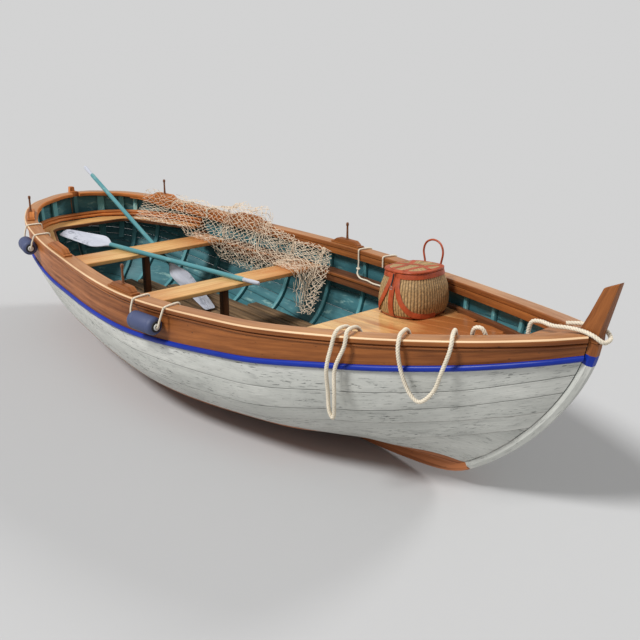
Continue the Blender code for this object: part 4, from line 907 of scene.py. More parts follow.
def look(name):
    """A finish by its name, made when it is first asked for."""
    c = bpy.context.scene.fishing_boat_colours
    if name in LOOKS:
        return LOOKS[name]
    # amount of painted seam shade on the varnish and the brown bottom; the other finishes below take painted seam shade
    # in their own amounts
    seam_shade_amount = 0.75
    makers = {
        # varnished wood: pale aft and darker from the stern to amidships and forward, painted light aft and painted
        # shade forward
        "varnish": lambda: varnished("varnished wood", [v * 1.7 for v in c.varnish], c.varnish_dark, spots=0.8,
                                     coat=0.0, seam_shade=seam_shade_amount, tone_and_shade_shift=("X", -2.3, -0.1, [v * 0.78 for v in c.varnish])),
        # gunwale cap top face: paler than the varnished sides, painted light on the top
        "cap": lambda: varnished("gunwale varnish", (0.52, 0.25, 0.098), [v * 1.6 for v in c.varnish_dark],
                                 rough=(0.3, 0.5), coat=0.2, figure=0.55),
        # outer top corner of the gunwale cap: a pale finish that is a painted highlight
        "painted_highlight_edge": lambda: varnished("painted gunwale highlight", (0.86, 0.62, 0.38), (0.55, 0.30, 0.14), coat=0.2,
                                       figure=0.4),
        # seats and bench: redder towards the ends of the seats, a tone of the wood
        "pale": lambda: varnished("pale varnish", c.pale, c.pale_dark, rough=(0.25, 0.45), coat=0.2, figure=0.75,
                                  seam_shade=0.5, tone_and_shade_shift=("Y", 0.22, 0.64, (0.56, 0.20, 0.06))),
        "brown": lambda: varnished("brown stain", c.brown, c.brown_dark, spots=0.5),
        "bottom": lambda: varnished("brown bottom boards", (0.56, 0.20, 0.075), (0.20, 0.062, 0.022),
                                    rough=(0.5, 0.75), coat=0.0, spots=0.6, seam_shade=seam_shade_amount),
        "white": lambda: painted("white paint", c.white, c.white_shade, (0.16, 0.17, 0.165), wear=0.30,
                                 scratches=0.9, seam_shade=0.6),
        "blade": lambda: painted("white oar paint", (0.66, 0.68, 0.74), (0.42, 0.44, 0.51),
                                 (0.18, 0.19, 0.23), wear=0.6, scratches=0.8),
        "teal": lambda: painted("teal paint", c.teal, c.teal_shade, c.teal_worn, wear=0.9, scratches=0.5, seam_shade=0.7),
        "oar_teal": lambda: painted("teal oar paint", [v * 1.35 for v in c.teal], c.teal, c.teal_worn, wear=0.7,
                                    scratches=0.6, rough=(0.35, 0.6)),
        # foredeck: turns darker and redder around and forward of the creel, painted shadow of the creel
        "deck": lambda: varnished("foredeck varnish", [min(v * 1.15, 1.0) for v in c.pale], (0.40, 0.13, 0.035),
                                  rough=(0.15, 0.32), coat=0.4, figure=0.6, seam_shade=0.6,
                                  tone_and_shade_shift=("X", 0.92, 1.28, (0.46, 0.15, 0.04))),
        "rib": lambda: painted("teal rib paint", [v * 1.3 for v in c.teal], c.teal, [v * 1.3 for v in c.teal_worn],
                               wear=1.0, scratches=0.4),
        "blue": lambda: painted("blue paint", c.blue, [v * 0.6 for v in c.blue], (0.03, 0.08, 0.42),
                                rough=(0.35, 0.6), wear=0.2, scratches=0.3),
        "post": lambda: varnished("dark post", [v * 0.5 for v in c.brown], [v * 0.5 for v in c.brown_dark]),
        "floor": lambda: varnished("bottom boards", (0.30, 0.185, 0.095), (0.050, 0.033, 0.021),
                                   rough=(0.55, 0.8), coat=0.0, figure=1.0, spots=0.6),
        "rope": lambda: roped("rope", c.rope, [v * 0.62 for v in c.rope]),
        "twine": lambda: roped("twine", c.twine, [v * 0.5 for v in c.twine]),
        "cane": lambda: woven("cane", c.cane, [v * 0.12 for v in c.cane]),
        "leather": lambda: leathered("leather", c.leather, [v * 0.5 for v in c.leather]),
        "fender": lambda: moulded("fender", c.fender, 0.5),
        "rubber": lambda: moulded("black rubber", (0.012, 0.012, 0.014), 0.6),
        "washer": lambda: moulded("white washer", (0.62, 0.62, 0.58), 0.45, 0.1),
        "steel": lambda: moulded("steel", (0.35, 0.34, 0.32), 0.35),
    }
    LOOKS[name] = makers[name]()
    return LOOKS[name]


def measure():
    return bpy.context.scene.fishing_boat_sizes


# ---------------------------------------------------------------- camera and mooring line
def aim_camera():
    data = bpy.data.cameras.new("camera")
    data.sensor_width = 36.0
    data.lens = 48.516
    data.shift_x = 0.00602
    data.shift_y = -0.00680
    azimuth, elevation = radians(50.065), radians(18.354)
    forward = Vector((-sin(azimuth) * cos(elevation), cos(azimuth) * cos(elevation), -sin(elevation)))
    camera = bpy.data.objects.new("camera", data)
    camera.location = (4.2295, -2.9657, 1.9155)
    camera.rotation_euler = forward.to_track_quat("-Z", "Y").to_euler()
    bpy.context.scene.collection.objects.link(camera)
    bpy.context.scene.camera = camera


def build_mooring_line():
    route, whole = even_route(smooth_route(MOORING_ROUTE, 0.012, radians(14)), 0.0036)
    rings, rims = rope_rings(route, MOORING_RADIUS * 0.92, 0.038, 15)
    made = Solid().loft(rings)
    made.rims = rims
    line = made.piece("mooring_line", [look("rope")], replaces=["mooring_rope"], slot="rope", smooth=70)


# ---------------------------------------------------------------- hull
def build_planking():
    heads = stations(96)
    for index, strake in enumerate(STRAKES):
        outside = "varnish" if strake == "sheer" else "bottom" if index < 2 else "white"
        rings = []
        for x in heads:
            seams = [0.0] + [column(SEAMS, k, x) for k in range(1, 8)] + [1.0]
            low, high = seams[index] + SEAM_TRIM, seams[index + 1] - SEAM_TRIM
            lip = min(measure().plank_lip / girth(x)[1][-1], (high - low) * 0.2)
            inside = [low + (high - low) * k / 4 for k in (1, 2, 3)]
            edges = (low + lip, high - lip)
            if strake in ("bilge", "lower", "middle"):
                line = min(max(column(PAINT_LINE, 1, x), low + 0.0004), high - 0.0004)
                edges = (low + min(lip, (line - low) / 2), high - min(lip, (high - line) / 2))
                inside = [line + (edges[1] - line) * k / 3 for k in range(3)]
            rows = list(zip([low, edges[0], *inside, edges[1], high], (0.0028, 0.0003, 0, 0, 0, 0.0003, 0.0028)))
            rows += list(zip([high, high - lip, (low + high) / 2, low + lip, low],
                             (PLANK - 0.0025, PLANK, PLANK, PLANK, PLANK - 0.0025)))
            rings.append([depth_point(x, share, depth) for share, depth in rows])
        # rims fall to 0 at the plank edges, where painted seam shade darkens the planks
        rims = [0.0, 0.8, 1.0, 1.0, 1.0, 0.8, 0.0, 0.0, 0.85, 1.0, 0.85, 0.0]
        looks = ([2, 2] if strake in ("bilge", "lower", "middle") else [0, 0]) + [0] * 5 + [1] * 4 + [0]
        for side, suffix in SIDES:
            made = Solid()
            made.shift = index * 5.3 + (side + 1) * 31.0
            made.loft([mirrored(ring, side) for ring in rings], looks, rims=rims, each=True)
            made.piece(f"{strake}_plank_{suffix}", [look(outside), look("teal"), look("bottom")],
                       replaces=[f"{strake}_strake_{suffix}"],
                       slot={"varnish": "varnish", "bottom": "brown_stain", "white": "white_paint"}[outside])


def gunwale_points(x, outline, side):
    ring = []
    for inward, z in outline:
        px, py = plan_offset(x, inward)
        ring.append((px, py * side, z))
    return ring


def build_gunwale():
    heads = stations(110)
    for side, suffix in SIDES:
        cap, inwale, bead, band = [], [], [], []
        for x in heads:
            z = sheer_at(x) + CAP_GAP
            inner = CAP_WIDTH - CAP_OVERHANG
            outline = eased([(-CAP_OVERHANG, z), (-CAP_OVERHANG, z + CAP_THICK), (inner, z + CAP_THICK), (inner, z)],
                            measure().cap_ease, 3)
            cap.append(gunwale_points(x, outline, side))
            if -2.2 < x < 2.2:
                outer = plan_offset(x, INWALE_OUT)
                reach = (outer[1] - fitted(outer[0], z - 0.02) + 0.003)
                low, top = z - CAP_GAP - INWALE_DEPTH * min(max((x + 2.2) / 0.35, 0.2), 1.0), z - GAP
                start_in = INWALE_OUT + max(0.0, reach)
                outline = eased([(start_in, low), (start_in, top), (INWALE_IN, top), (INWALE_IN, low)], 0.004, 2)
                inwale.append(gunwale_points(x, outline, side))
            bead.append(half_round(x, 1 - 0.6 * measure().bead_height / girth(x)[1][-1] - 0.002, side,
                                   measure().bead_height / 2, 0.0085, 8))
            band.append(half_round(x, column(SEAMS, 7, x), side, BAND_HALF_HEIGHT, BAND_DEPTH, 12))
        # faces round the cap: the outer top corner gets a painted highlight and the top face the paler cap finish,
        # painted light on the top; the rest is varnish
        faces = [1] * 4 + [2] * 3 + [0] + [1] * 8
        Solid().loft(cap, faces).piece(f"cap_{suffix}", [look("cap"), look("varnish"), look("painted_highlight_edge")],
                                       replaces=[f"gunwale_cap_{suffix}"], slot="varnish")
        Solid().loft(inwale).piece(f"inner_rail_{suffix}", [look("varnish")], replaces=[f"inwale_{suffix}"],
                                   slot="varnish")
        Solid().loft(bead).piece(f"bead_{suffix}", [look("varnish")], slot="varnish", smooth=60)
        Solid().loft(band).piece(f"band_{suffix}", [look("blue")], replaces=[f"rubbing_band_{suffix}"],
                                 slot="blue_paint", smooth=60)


def half_round(x, share, side, half_height, depth, steps):
    """Section of a half-round strip laid on the skin."""
    normal = skin_normal(x, share)
    up = (skin(x, min(1.0, share + 0.01)) - skin(x, share - 0.01)).normalized()
    centre = skin(x, share) + normal * 0.0012
    ring = []
    for k in range(steps + 1):
        angle = pi * k / steps - pi / 2
        ring.append(centre + up * (half_height * sin(angle)) + normal * (depth * cos(angle)))
    return mirrored(ring, side)


def end_line(x, shares, face, back):
    """Outer, rabbet and inner points in the centreline plane along an end frame."""
    out = []
    for share in shares:
        a, b = skin(x, max(0.0, share - 0.03)), skin(x, min(1.0, share + 0.03))
        run = (b - a).normalized()
        normal = Vector((run.z, 0.0, -run.x))
        if normal.x * x < 0:
            normal = -normal
        point = skin(x, share)
        point.y = 0.0
        out.append((point + normal * face, point + normal * GAP, point - normal * back))
    return out


def spine_ring(outer, rabbet, inner, narrow=0.0148, nose=0.013, chamfer=0.018):
    wide = BACKBONE_HALF
    edge = outer.lerp(rabbet, min(0.6, chamfer / max((outer - rabbet).length, 1e-6)))
    side = [(outer, nose), (edge, wide), (rabbet, wide), (rabbet, narrow), (inner, narrow)]
    return ([Vector((p.x, -half, p.z)) for p, half in side]
            + [Vector((p.x, half, p.z)) for p, half in reversed(side)])


def build_backbone():
    """Stem, keel and sternpost, painted in the zones of the planking beside them."""
    looks = [0, 0, 0, 1, 1, 1, 0, 0, 0, 0]
    for x, face, parts in ((HIGH_X, 0.040, "stem"), (LOW_X, 0.035, "sternpost")):
        band, bottom = column(SEAMS, 7, x), column(SEAMS, 2, x)
        foot = 0.40 if x > 0 else 0.30
        zones = ((band + 0.02, 1.0, "varnish"), (band - 0.022, band + 0.02, "blue"), (foot, band - 0.022, "white"))
        made = Solid()
        names = []
        for low, high, finish in zones:
            count = 14 if finish == "white" else 3
            rings = [spine_ring(*p) for p in end_line(x, evenly(low, high, count), face, 0.048)]
            made.loft(rings, [look_index(names, finish) if k == 0 else look_index(names, "teal") for k in looks])
        sheer = skin(x, 1.0).z
        if parts == "stem":
            head = ((0.040, -0.048, GAP, GAP, 0.0284), (0.0405, -0.047, 0.020, 0.022, 0.0284),
                    (0.041, -0.046, 0.037, 0.042, 0.0284), (0.056, -0.028, 0.092, 0.082, 0.026),
                    (0.0665, -0.013, 0.130, 0.114, 0.0240), (0.101, 0.034, 0.259, 0.229, 0.0175),
                    (0.103, 0.038, 0.265, 0.234, 0.0145))
            rings = []
            for front, back, front_rise, back_rise, wide in head:
                a = Vector((x + front, 0, sheer + front_rise))
                b = Vector((x + back, 0, sheer + back_rise))
                rings.append(board_ring(a, b, wide))
        else:
            rings = []
            for z, wide in ((sheer + GAP, 0.0284), (sheer + 0.034, 0.0284), (sheer + 0.038, 0.025)):
                rings.append(board_ring(Vector((x + 0.004, 0, z)), Vector((x + 0.044, 0, z)), wide))
            made.loft(rings, look_index(names, "stemhead"))
            rings = []
            for z, wide in ((sheer + GAP, 0.024), (sheer + 0.066, 0.018), (sheer + 0.071, 0.015)):
                rings.append(board_ring(Vector((x - 0.036, 0, z)), Vector((x + 0.003, 0, z)), wide))
        made.loft(rings, look_index(names, "stemhead"))
        finishes = [look("varnish" if n == "stemhead" else n) for n in names]
        made.piece(f"{parts}_timber", finishes, replaces=[parts], slot="varnish", smooth=28)
    made, names = Solid(), []
    stern = end_line(LOW_X, evenly(0.30, 0.0, 8), 0.035, 0.012)
    bow = end_line(HIGH_X, evenly(0.0, 0.40, 10), 0.040, 0.012)
    foot = []
    for k in range(1, 40):
        head = LOW_X + (HIGH_X - LOW_X) * k / 40
        x, z = column(OFFSETS, 3, head), column(OFFSETS, 4, head)
        if stern[-1][1].x + 0.04 < x < bow[0][1].x - 0.03:
            foot.append((Vector((x, 0, column(KEEL_BOTTOM, 1, x))), Vector((x, 0, z - GAP)), Vector((x, 0, z + 0.012))))
    rings = [spine_ring(*p, chamfer=0.008, nose=0.022) for p in stern + foot + bow[:3]]
    made.loft(rings, look_index(names, "bottom"))
    made.loft([spine_ring(*p) for p in bow[2:]], look_index(names, "white"))
    made.piece("keel_timber", [look(n) for n in names], replaces=["keel"], slot="brown_stain", smooth=28)


KEEL_BOTTOM = (
    (-2.20, -0.175), (-2.00, -0.200), (-1.60, -0.218), (-0.80, -0.226), (0.60, -0.226),
    (1.20, -0.214), (1.45, -0.196), (1.62, -0.176), (1.76, -0.146),
)


def board_ring(front, back, wide, ease=0.004):
    """Section of an upright board from its front edge to its back edge."""
    run = (back - front)
    span = run.length
    outline = eased([(0, -wide), (0, wide), (span, wide), (span, -wide)], ease, 2)
    return [front + run * (a / span) + Vector((0, b, 0)) for a, b in outline]


def look_index(names, name):
    if name not in names:
        names.append(name)
    return names.index(name)


def build_breasthook():
    made = Solid()
    inward = CAP_WIDTH - CAP_OVERHANG
    rings = []
    for x in evenly(2.195, 2.365, 10):
        half = cap_edge(x, inward) - 2 * GAP
        low, high = sheer_at(x) - 0.004, cap_top(x) - 0.002
        rings.append([(x, b, z) for b, z in eased([(-half, low), (half, low), (half, high), (-half, high)], 0.003, 2)])
    made.loft(rings)
    made.piece("bow_hook", [look("cap")], replaces=["breasthook"], slot="varnish")


def build_ribs():
    made = Solid()
    whole = [1 - 0.006] + [1 - k / 26 for k in range(1, 26)] + [0.012]
    for x in RIBS + CANT_RIBS:
        shares = whole if x in RIBS else whole[:11]
        rings = []
        for side in (1, -1):
            half = []
            for share in shares:
                section = eased([(-RIB_SIDED / 2, RIB_OUT), (RIB_SIDED / 2, RIB_OUT), (RIB_SIDED / 2, RIB_IN),
                                 (-RIB_SIDED / 2, RIB_IN)], 0.005, 2)
                ring = []
                for dx, depth in section:
                    p = depth_point(x + dx, share, depth)
                    if p.y > 0.004:
                        ring.append(Vector((p.x, p.y * side, p.z)))
                    else:
                        ring.append(Vector((p.x, 0.004 * side, p.z)))
                half.append(ring)
            if x in CANT_RIBS:
                made.loft(half)
            rings += half if side == 1 else half[::-1]
        if x in RIBS:
            made.loft(rings)
    hog = []
    for x in evenly(-1.98, 1.68, 40):
        half = 0.045 if -1.6 < x < 0.95 else 0.014
        foot = column([(row[3], row[4]) for row in OFFSETS], 1, x) + RIB_OUT + 0.002
        hog.append([(x, b, z) for b, z in eased([(-half, foot), (half, foot), (half, foot + 0.034),
                                                 (-half, foot + 0.034)], 0.004, 2)])
    made.loft(hog)
    made.piece("rib_timbers", [look("rib")], replaces=["ribs"], slot="teal_paint", smooth=40)


# ---------------------------------------------------------------- inside
def build_ledges():
    low, high = LEDGE_RANGE
    cuts = [low]
    tops = []
    for _, aft, forward, top in THWARTS:
        cuts += [aft - GAP, forward + GAP]
        tops += [None, top - THWART_THICK - GAP]
    cuts.append(high)
    tops.append(None)
    for side, suffix in SIDES:
        made = Solid()
        for a, b, cap in zip(cuts, cuts[1:], tops):
            rings = []
            for x in evenly(a, b, max(2, ceil((b - a) / 0.09))):
                top = ledge_top(x)
                bottom = top - LEDGE_DEPTH
                if cap:
                    top = min(top, cap)
                inner = fitted(x, ledge_top(x)) - LEDGE_WIDTH
                nose = min(0.020, (top - bottom) * 0.5)
                outline = [(fitted(x, top), top), (inner + 0.005, top), (inner, top - 0.005), (inner, top - nose + 0.004),
                           (inner + 0.004, top - nose), (inner + 0.010, top - nose), (inner + 0.010, bottom),
                           (fitted(x, bottom), bottom)]
                rings.append([(x, y * side, z) for y, z in outline])
            made.loft(rings, [1, 2, 2, 2, 0, 0, 1, 1])
        made.piece(f"ledge_{suffix}", [look("brown"), look("brown"), look("varnish")],
                   replaces=[f"side_ledge_{suffix}"], slot="brown_stain", smooth=30)


def build_thwarts():
    for name, aft, forward, top in THWARTS:
        half = min(fitted(x, z) for x in (aft, forward) for z in (top, top - THWART_THICK)) - 0.004
        made = Solid().box((aft, -half, top - THWART_THICK), (forward, half, top), 0.006, 1, steps=3)
        made.piece(f"{name}_seat", [look("pale")], replaces=[f"{name}_thwart"], slot="pale_varnish")
        low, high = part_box(f"{name}_thwart_post")
        made = Solid().box(tuple(low), tuple(high), 0.005, 2, steps=2)
        made.piece(f"{name}_post", [look("post")], replaces=[f"{name}_thwart_post"], slot="dark_wood")


def bench_lines(count):
    """Matching points round the outside and the inside of the stern bench, from port to starboard."""
    forward = LEDGE_RANGE[0] - 0.003
    low = BENCH_TOP - BENCH_THICK
    outer = [Vector((x, fitted(x, low))) for x in evenly(forward, -2.2, 14)]
    outer += [Vector((-2.24, fitted(-2.24, low))), Vector((-2.27, fitted(-2.27, low))),
              Vector((-2.295, fitted(-2.295, low))), Vector((-2.297, 0.0))]
    arm = outer[0].y - BENCH_ARM
    inner = [Vector((forward, arm))]
    for k in range(9):
        angle = pi / 2 * (1 - k / 8)
        inner.append(Vector((BENCH_INNER_X + BENCH_CORNER * (1 - cos(angle)),
                             BENCH_INNER_HALF - BENCH_CORNER + BENCH_CORNER * sin(angle))))
    inner.append(Vector((BENCH_INNER_X, 0.0)))
    lines = []
    for line in (outer, inner):
        line = [Vector((p.x, p.y, 0.0)) for p in line]
        points, whole = even_route(line, 0.001)
        picked = [points[round(k * (len(points) - 1) / count)] for k in range(count + 1)]
        lines.append(picked + [Vector((p.x, -p.y, 0.0)) for p in picked[-2::-1]])
    return lines


def build_bench():
    outer, inner = bench_lines(34)
    made = Solid()
    low, top = BENCH_TOP - BENCH_THICK, BENCH_TOP
    shares = (0.0, 0.31, 0.62, 0.90, 1.0)
    gap = measure().board_gap
    for index, (a, b) in enumerate(zip(shares, shares[1:])):
        rings = []
        for p, q in zip(outer, inner):
            run = q - p
            one, two = p + run * a + run.normalized() * gap / 2, p + run * b - run.normalized() * gap / 2
            across = (two - one).length
            outline = eased([(0, low), (across, low), (across, top), (0, top)], 0.0025, 1)
            rings.append([one + run.normalized() * d + Vector((0, 0, z)) for d, z in outline])
        made.loft(rings, 1 if index == 3 else 0)
    made.piece("bench_boards", [look("pale"), look("brown")], replaces=["stern_bench"], slot="pale_varnish", smooth=30)
    rail = Solid()
    for z_mid, proud, half in ((0.487, 0.024, 0.012), (0.465, 0.036, 0.014)):
        rings = []
        path = [(x, fitted(x, z_mid)) for x in evenly(LEDGE_RANGE[0] - 0.01, -2.2, 30)]
        path += [(-2.25, fitted(-2.25, z_mid)), (-2.29, fitted(-2.29, z_mid)), (-2.315, fitted(-2.315, z_mid)),
                 (-2.325, 0.05)]
        full = [Vector((x, y, 0)) for x, y in path] + [Vector((x, -y, 0)) for x, y in path[::-1]]
        for k, point in enumerate(full):
            run = (full[min(k + 1, len(full) - 1)] - full[max(k - 1, 0)]).normalized()
            inward = Vector((run.y, -run.x, 0.0))
            if inward.dot(Vector((-1.6, 0, 0)) - point) < 0:
                inward = -inward
            ring = []
            for s in range(9):
                angle = pi * s / 8 - pi / 2
                ring.append(point + inward * (proud * cos(angle) - 0.002) + Vector((0, 0, z_mid + half * sin(angle))))
            rings.append(ring)
        rail.loft(rings)
    rail.piece("bench_moulding", [look("varnish")], slot="varnish", smooth=60)


def deck_half(x):
    top = sheer_at(x) - DECK_DROP
    return min(fitted(x, top + DECK_TRIM[1]), fitted(x, top - DECK_THICK) + 0.012) - DECK_TRIM[0]


def build_foredeck():
    made = Solid()
    low, high = DECK_RANGE
    gap = measure().board_gap
    width = 0.094
    for index in range(-8, 8):
        near, far = sorted((abs(index * width), abs((index + 1) * width)))
        side = 1 if index >= 0 else -1
        rings = []
        for x in evenly(low, high, 20):
            outer = min(far, deck_half(x))
            if outer - near < 0.012:
                break
            top = sheer_at(x) - DECK_DROP
            outline = eased([(near + gap / 2, top - DECK_THICK), (outer - gap / 2, top - DECK_THICK),
                             (outer - gap / 2, top), (near + gap / 2, top)], 0.002, 1)
            rings.append([(x, y * side, z) for y, z in outline])
        if len(rings) > 1:
            made.shift = 2.3 * index
            made.loft(rings)
    made.piece("deck_boards", [look("deck")], replaces=["foredeck"], slot="pale_varnish", smooth=30)
    trim = Solid()
    for side, suffix in SIDES:
        rings = []
        for x in evenly(low, high, 24):
            top = sheer_at(x) - DECK_DROP
            inner = deck_half(x)
            outer = inner + DECK_TRIM[0]
            outline = eased([(inner, top - DECK_THICK), (outer, top - DECK_THICK), (outer, top + DECK_TRIM[1]),
                             (inner, top + DECK_TRIM[1])], 0.007, 3)
            rings.append([(x, y * side, z) for y, z in outline])
        trim.loft(rings)
    half = fitted(low, sheer_at(low) - DECK_DROP - DECK_THICK) - 0.004
    top = sheer_at(low) - DECK_DROP - DECK_THICK
    trim.box((low + 0.004, -half, top - 0.035), (low + 0.030, half, top - 0.0005), 0.004, 1)
    trim.piece("deck_edging", [look("brown")], slot="brown_stain")


def build_floor():
    made = Solid()
    under = FLOOR_TOP - FLOOR_BOARD
    scan = evenly(*FLOOR_RANGE, 120)
    for k in range(round(FLOOR_HALF / SLAT_PITCH)):
        inner = k * SLAT_PITCH + (SLAT_PITCH - SLAT_WIDTH) / 2
        outer = inner + SLAT_WIDTH
        fits = [x for x in scan if min(FLOOR_HALF, fitted(x, under) - 0.006) >= outer]
        for side in (-1, 1):
            a, b = sorted(((inner + 0.004) * side, (outer - 0.004) * side))
            made.box((fits[0], a, under), (fits[-1], b, FLOOR_TOP), 0.004, 0, steps=2)
    for x in (-1.48, -0.75, 0.02, 0.70):
        half = min(fitted(x, -0.06), FLOOR_HALF)
        made.box((x - 0.011, -half + 0.01, under - 0.03), (x + 0.011, half - 0.01, under + 0.001), 0.003, 1)
    made.piece("floor_slats", [look("floor")], replaces=["bottom_boards"], slot="floor_wood", smooth=30)


# ---------------------------------------------------------------- fittings
def build_thole_blocks():
    for side, suffix in SIDES:
        for name, x, span, has_pin in BLOCKS:
            ends = []
            for head in (x - span / 2, x + span / 2):
                px, py = plan_offset(head, CAP_WIDTH / 2 - CAP_OVERHANG)
                ends.append(Vector((px, py * side, cap_top(head))))
            middle = (ends[0] + ends[1]) / 2
            px, py = plan_offset(x, CAP_WIDTH / 2 - CAP_OVERHANG)
            along = (ends[1] - ends[0]).normalized()
            across = Vector((0, 0, 1)).cross(along).normalized()
            up = along.cross(across)
            origin = Vector(((px + middle.x) / 2, (py * side + middle.y) / 2, middle.z)) + up * 0.0008
            whole = (ends[1] - ends[0]).length

            def section(share, half, low, high, ease=0.003):
                outline = eased([(-half, low), (half, low), (half, high), (-half, high)], ease, 2)
                return [origin + along * (share * whole) + across * a + up * b for a, b in outline]

            made = Solid()
            made.loft([section(-0.5, 0.025, 0.001, 0.009), section(-0.49, 0.027, 0, 0.011), section(0.49, 0.027, 0, 0.011),
                       section(0.5, 0.025, 0.001, 0.009)])
            made.loft([section(-0.42, 0.020, 0.0105, 0.0145), section(-0.41, 0.0225, 0.0105, 0.018),
                       section(-0.31, 0.0235, 0.0105, 0.034), section(-0.29, 0.0235, 0.0105, 0.036),
                       section(0.29, 0.0235, 0.0105, 0.036), section(0.31, 0.0235, 0.0105, 0.034),
                       section(0.41, 0.0225, 0.0105, 0.018), section(0.42, 0.020, 0.0105, 0.0145)])
            made.piece(f"oar_block_{name}_{suffix}", [look("varnish")], replaces=[f"thole_block_{name}_{suffix}"],
                       slot="varnish", smooth=30)
            if has_pin:
                top = PIN_HEIGHT
                profile = ((0, 0), (0.0125, 0), (0.0125, 0.004), (0.0085, 0.007), (0.0072, 0.03), (0.0065, top - 0.030),
                           (0.0068, top - 0.024), (0.0092, top - 0.020), (0.0098, top - 0.010), (0.0085, top - 0.003),
                           (0.005, top), (0, top))
                turned(f"thole_pin_{name}_{suffix}", profile, look("brown"),
                       Matrix.Translation(origin + up * 0.0355), slot="varnish")


def fender_rope_top(x, side):
    px, py = plan_offset(x, -CAP_OVERHANG)
    return Vector((px, (py + FENDER_ROPE + 2 * GAP) * side, cap_top(x)))


def build_fenders():
    r = FENDER_RADIUS
    for side, suffix in SIDES:
        for name, x, span in FENDERS:
            body = f"fender_{name}_{suffix}"
            px = plan_offset(x, -CAP_OVERHANG)[0]
            axis_z = cap_top(x) - FENDER_DROP
            middle = Vector((px, (breadth_at(px, axis_z, -r - 2 * GAP) + 0.0002) * side, axis_z))
            ax, ay = plan_offset(x - span / 2, 0)
            bx, by = plan_offset(x + span / 2, 0)
            along = Vector((bx - ax, (by - ay) * side, 0)).normalized()
            spin = along.to_track_quat("Z", "Y").to_matrix().to_4x4()
            place = Matrix.Translation(middle) @ spin
            half = span / 2
            outline = [(0, -half), (r * 0.62, -half), (r * 0.86, -half + 0.006), (r * 0.97, -half + 0.016),
                       (r, -half + 0.030), (r, -half + 0.036), (r * 0.985, -half + 0.038), (r, -half + 0.040),
                       (r, 0), (r, half - 0.040), (r * 0.985, half - 0.038), (r, half - 0.036), (r, half - 0.030),
                       (r * 0.97, half - 0.016), (r * 0.86, half - 0.006), (r * 0.62, half), (0, half)]
            turned(f"{body}_roll", outline, look("fender"), place, sides=40, body=body, replaces=[body],
                   slot="fender")
            for end in (-1, 1):
                spot = Matrix.Translation(middle + along * (end * half)) @ spin
                if end < 0:
                    spot = spot @ Matrix.Rotation(pi, 4, "X")
                turned(f"{body}_end_{end + 1}", ((0.0, 0.0005), (r * 0.60, 0.0005), (r * 0.58, 0.003), (0.0, 0.0035)),
                       look("rubber"), spot, sides=28, body=body, slot="fender")
                turned(f"{body}_washer_{end + 1}",
                       ((0.0075, 0.003), (0.0175, 0.003), (0.019, 0.006), (0.0165, 0.0095), (0.010, 0.0095),
                        (0.0075, 0.006), (0.0075, 0.003)), look("washer"), spot, sides=24, body=body, slot="rope")
                top = fender_rope_top(x + end * (half + FENDER_ROPE_SPAN), side)
                start_at = middle + along * (end * (half - 0.004))
                out = middle + along * (end * (half + 0.013))
                mid = out.lerp(top, 0.5) + Vector((0, 0.004 * side, 0)) + along * (end * 0.004)
                laid_rope(f"{body}_rope_{end + 1}", [start_at, out, mid, top], FENDER_ROPE * 0.92, look("rope"),
                          body=body, slot="rope")
                build_lashing(f"lashing_{name}_{suffix}_{end + 1}", x + end * (half + FENDER_ROPE_SPAN), side, top)


def build_lashing(name, x, side, top):
    """A rope's turn over the gunwale cap and down behind the inwale's face."""
    inner_x, inner_y = plan_offset(x, CAP_WIDTH - CAP_OVERHANG)
    z = cap_top(x)
    lift = Vector((0, 0, FENDER_ROPE + 0.0008))
    outer = Vector(plan_offset(x, -CAP_OVERHANG + 0.008) + (z,))
    over = Vector(plan_offset(x, 0.030) + (z,))
    inner = Vector((inner_x, inner_y, z))
    away = Vector((0, -0.0075, 0))
    points = [outer + lift * 0.6, over + lift, inner + lift * 0.7 + away * 0.4, inner + away - Vector((0, 0, 0.02)),
              inner + away - Vector((0, 0, 0.062))]
    points = [Vector((p.x, p.y * side, p.z)) for p in points]
    laid_rope(name, [top, *points], FENDER_ROPE * 0.92, look("rope"), slot="rope")


def build_lashing_tail():
    """The loose end of the port forward fender's rope, lying along the ledge."""
    x = 0.20
    inner = cap_edge(x, CAP_WIDTH - CAP_OVERHANG) - 0.009
    ledge = fitted(x, ledge_top(x)) - LEDGE_WIDTH
    points = [(x, inner, cap_top(x) - 0.06), (x, inner - 0.004, cap_top(x) - 0.12), (x + 0.01, ledge + 0.04,
               ledge_top(x) + 0.030), (x + 0.05, ledge + 0.03, ledge_top(x) + 0.010)]
    for k in range(1, 8):
        there = x + 0.05 + 0.075 * k
        points.append((there, fitted(there, ledge_top(there)) - LEDGE_WIDTH + 0.03 + 0.008 * sin(2.1 * k),
                       ledge_top(there) + FENDER_ROPE + 0.0005))
    laid_rope("lashing_tail", points, FENDER_ROPE * 0.9, look("rope"), slot="rope")
    knot = [Vector(points[1]) + Vector((0.010 * sin(a), 0.008 * cos(a), 0.004 * sin(2 * a)))
            for a in (0.0, 1.1, 2.2, 3.3, 4.4, 5.5, 6.6, 7.7)]
    laid_rope("lashing_knot", knot, FENDER_ROPE * 0.9, look("rope"), slot="rope")


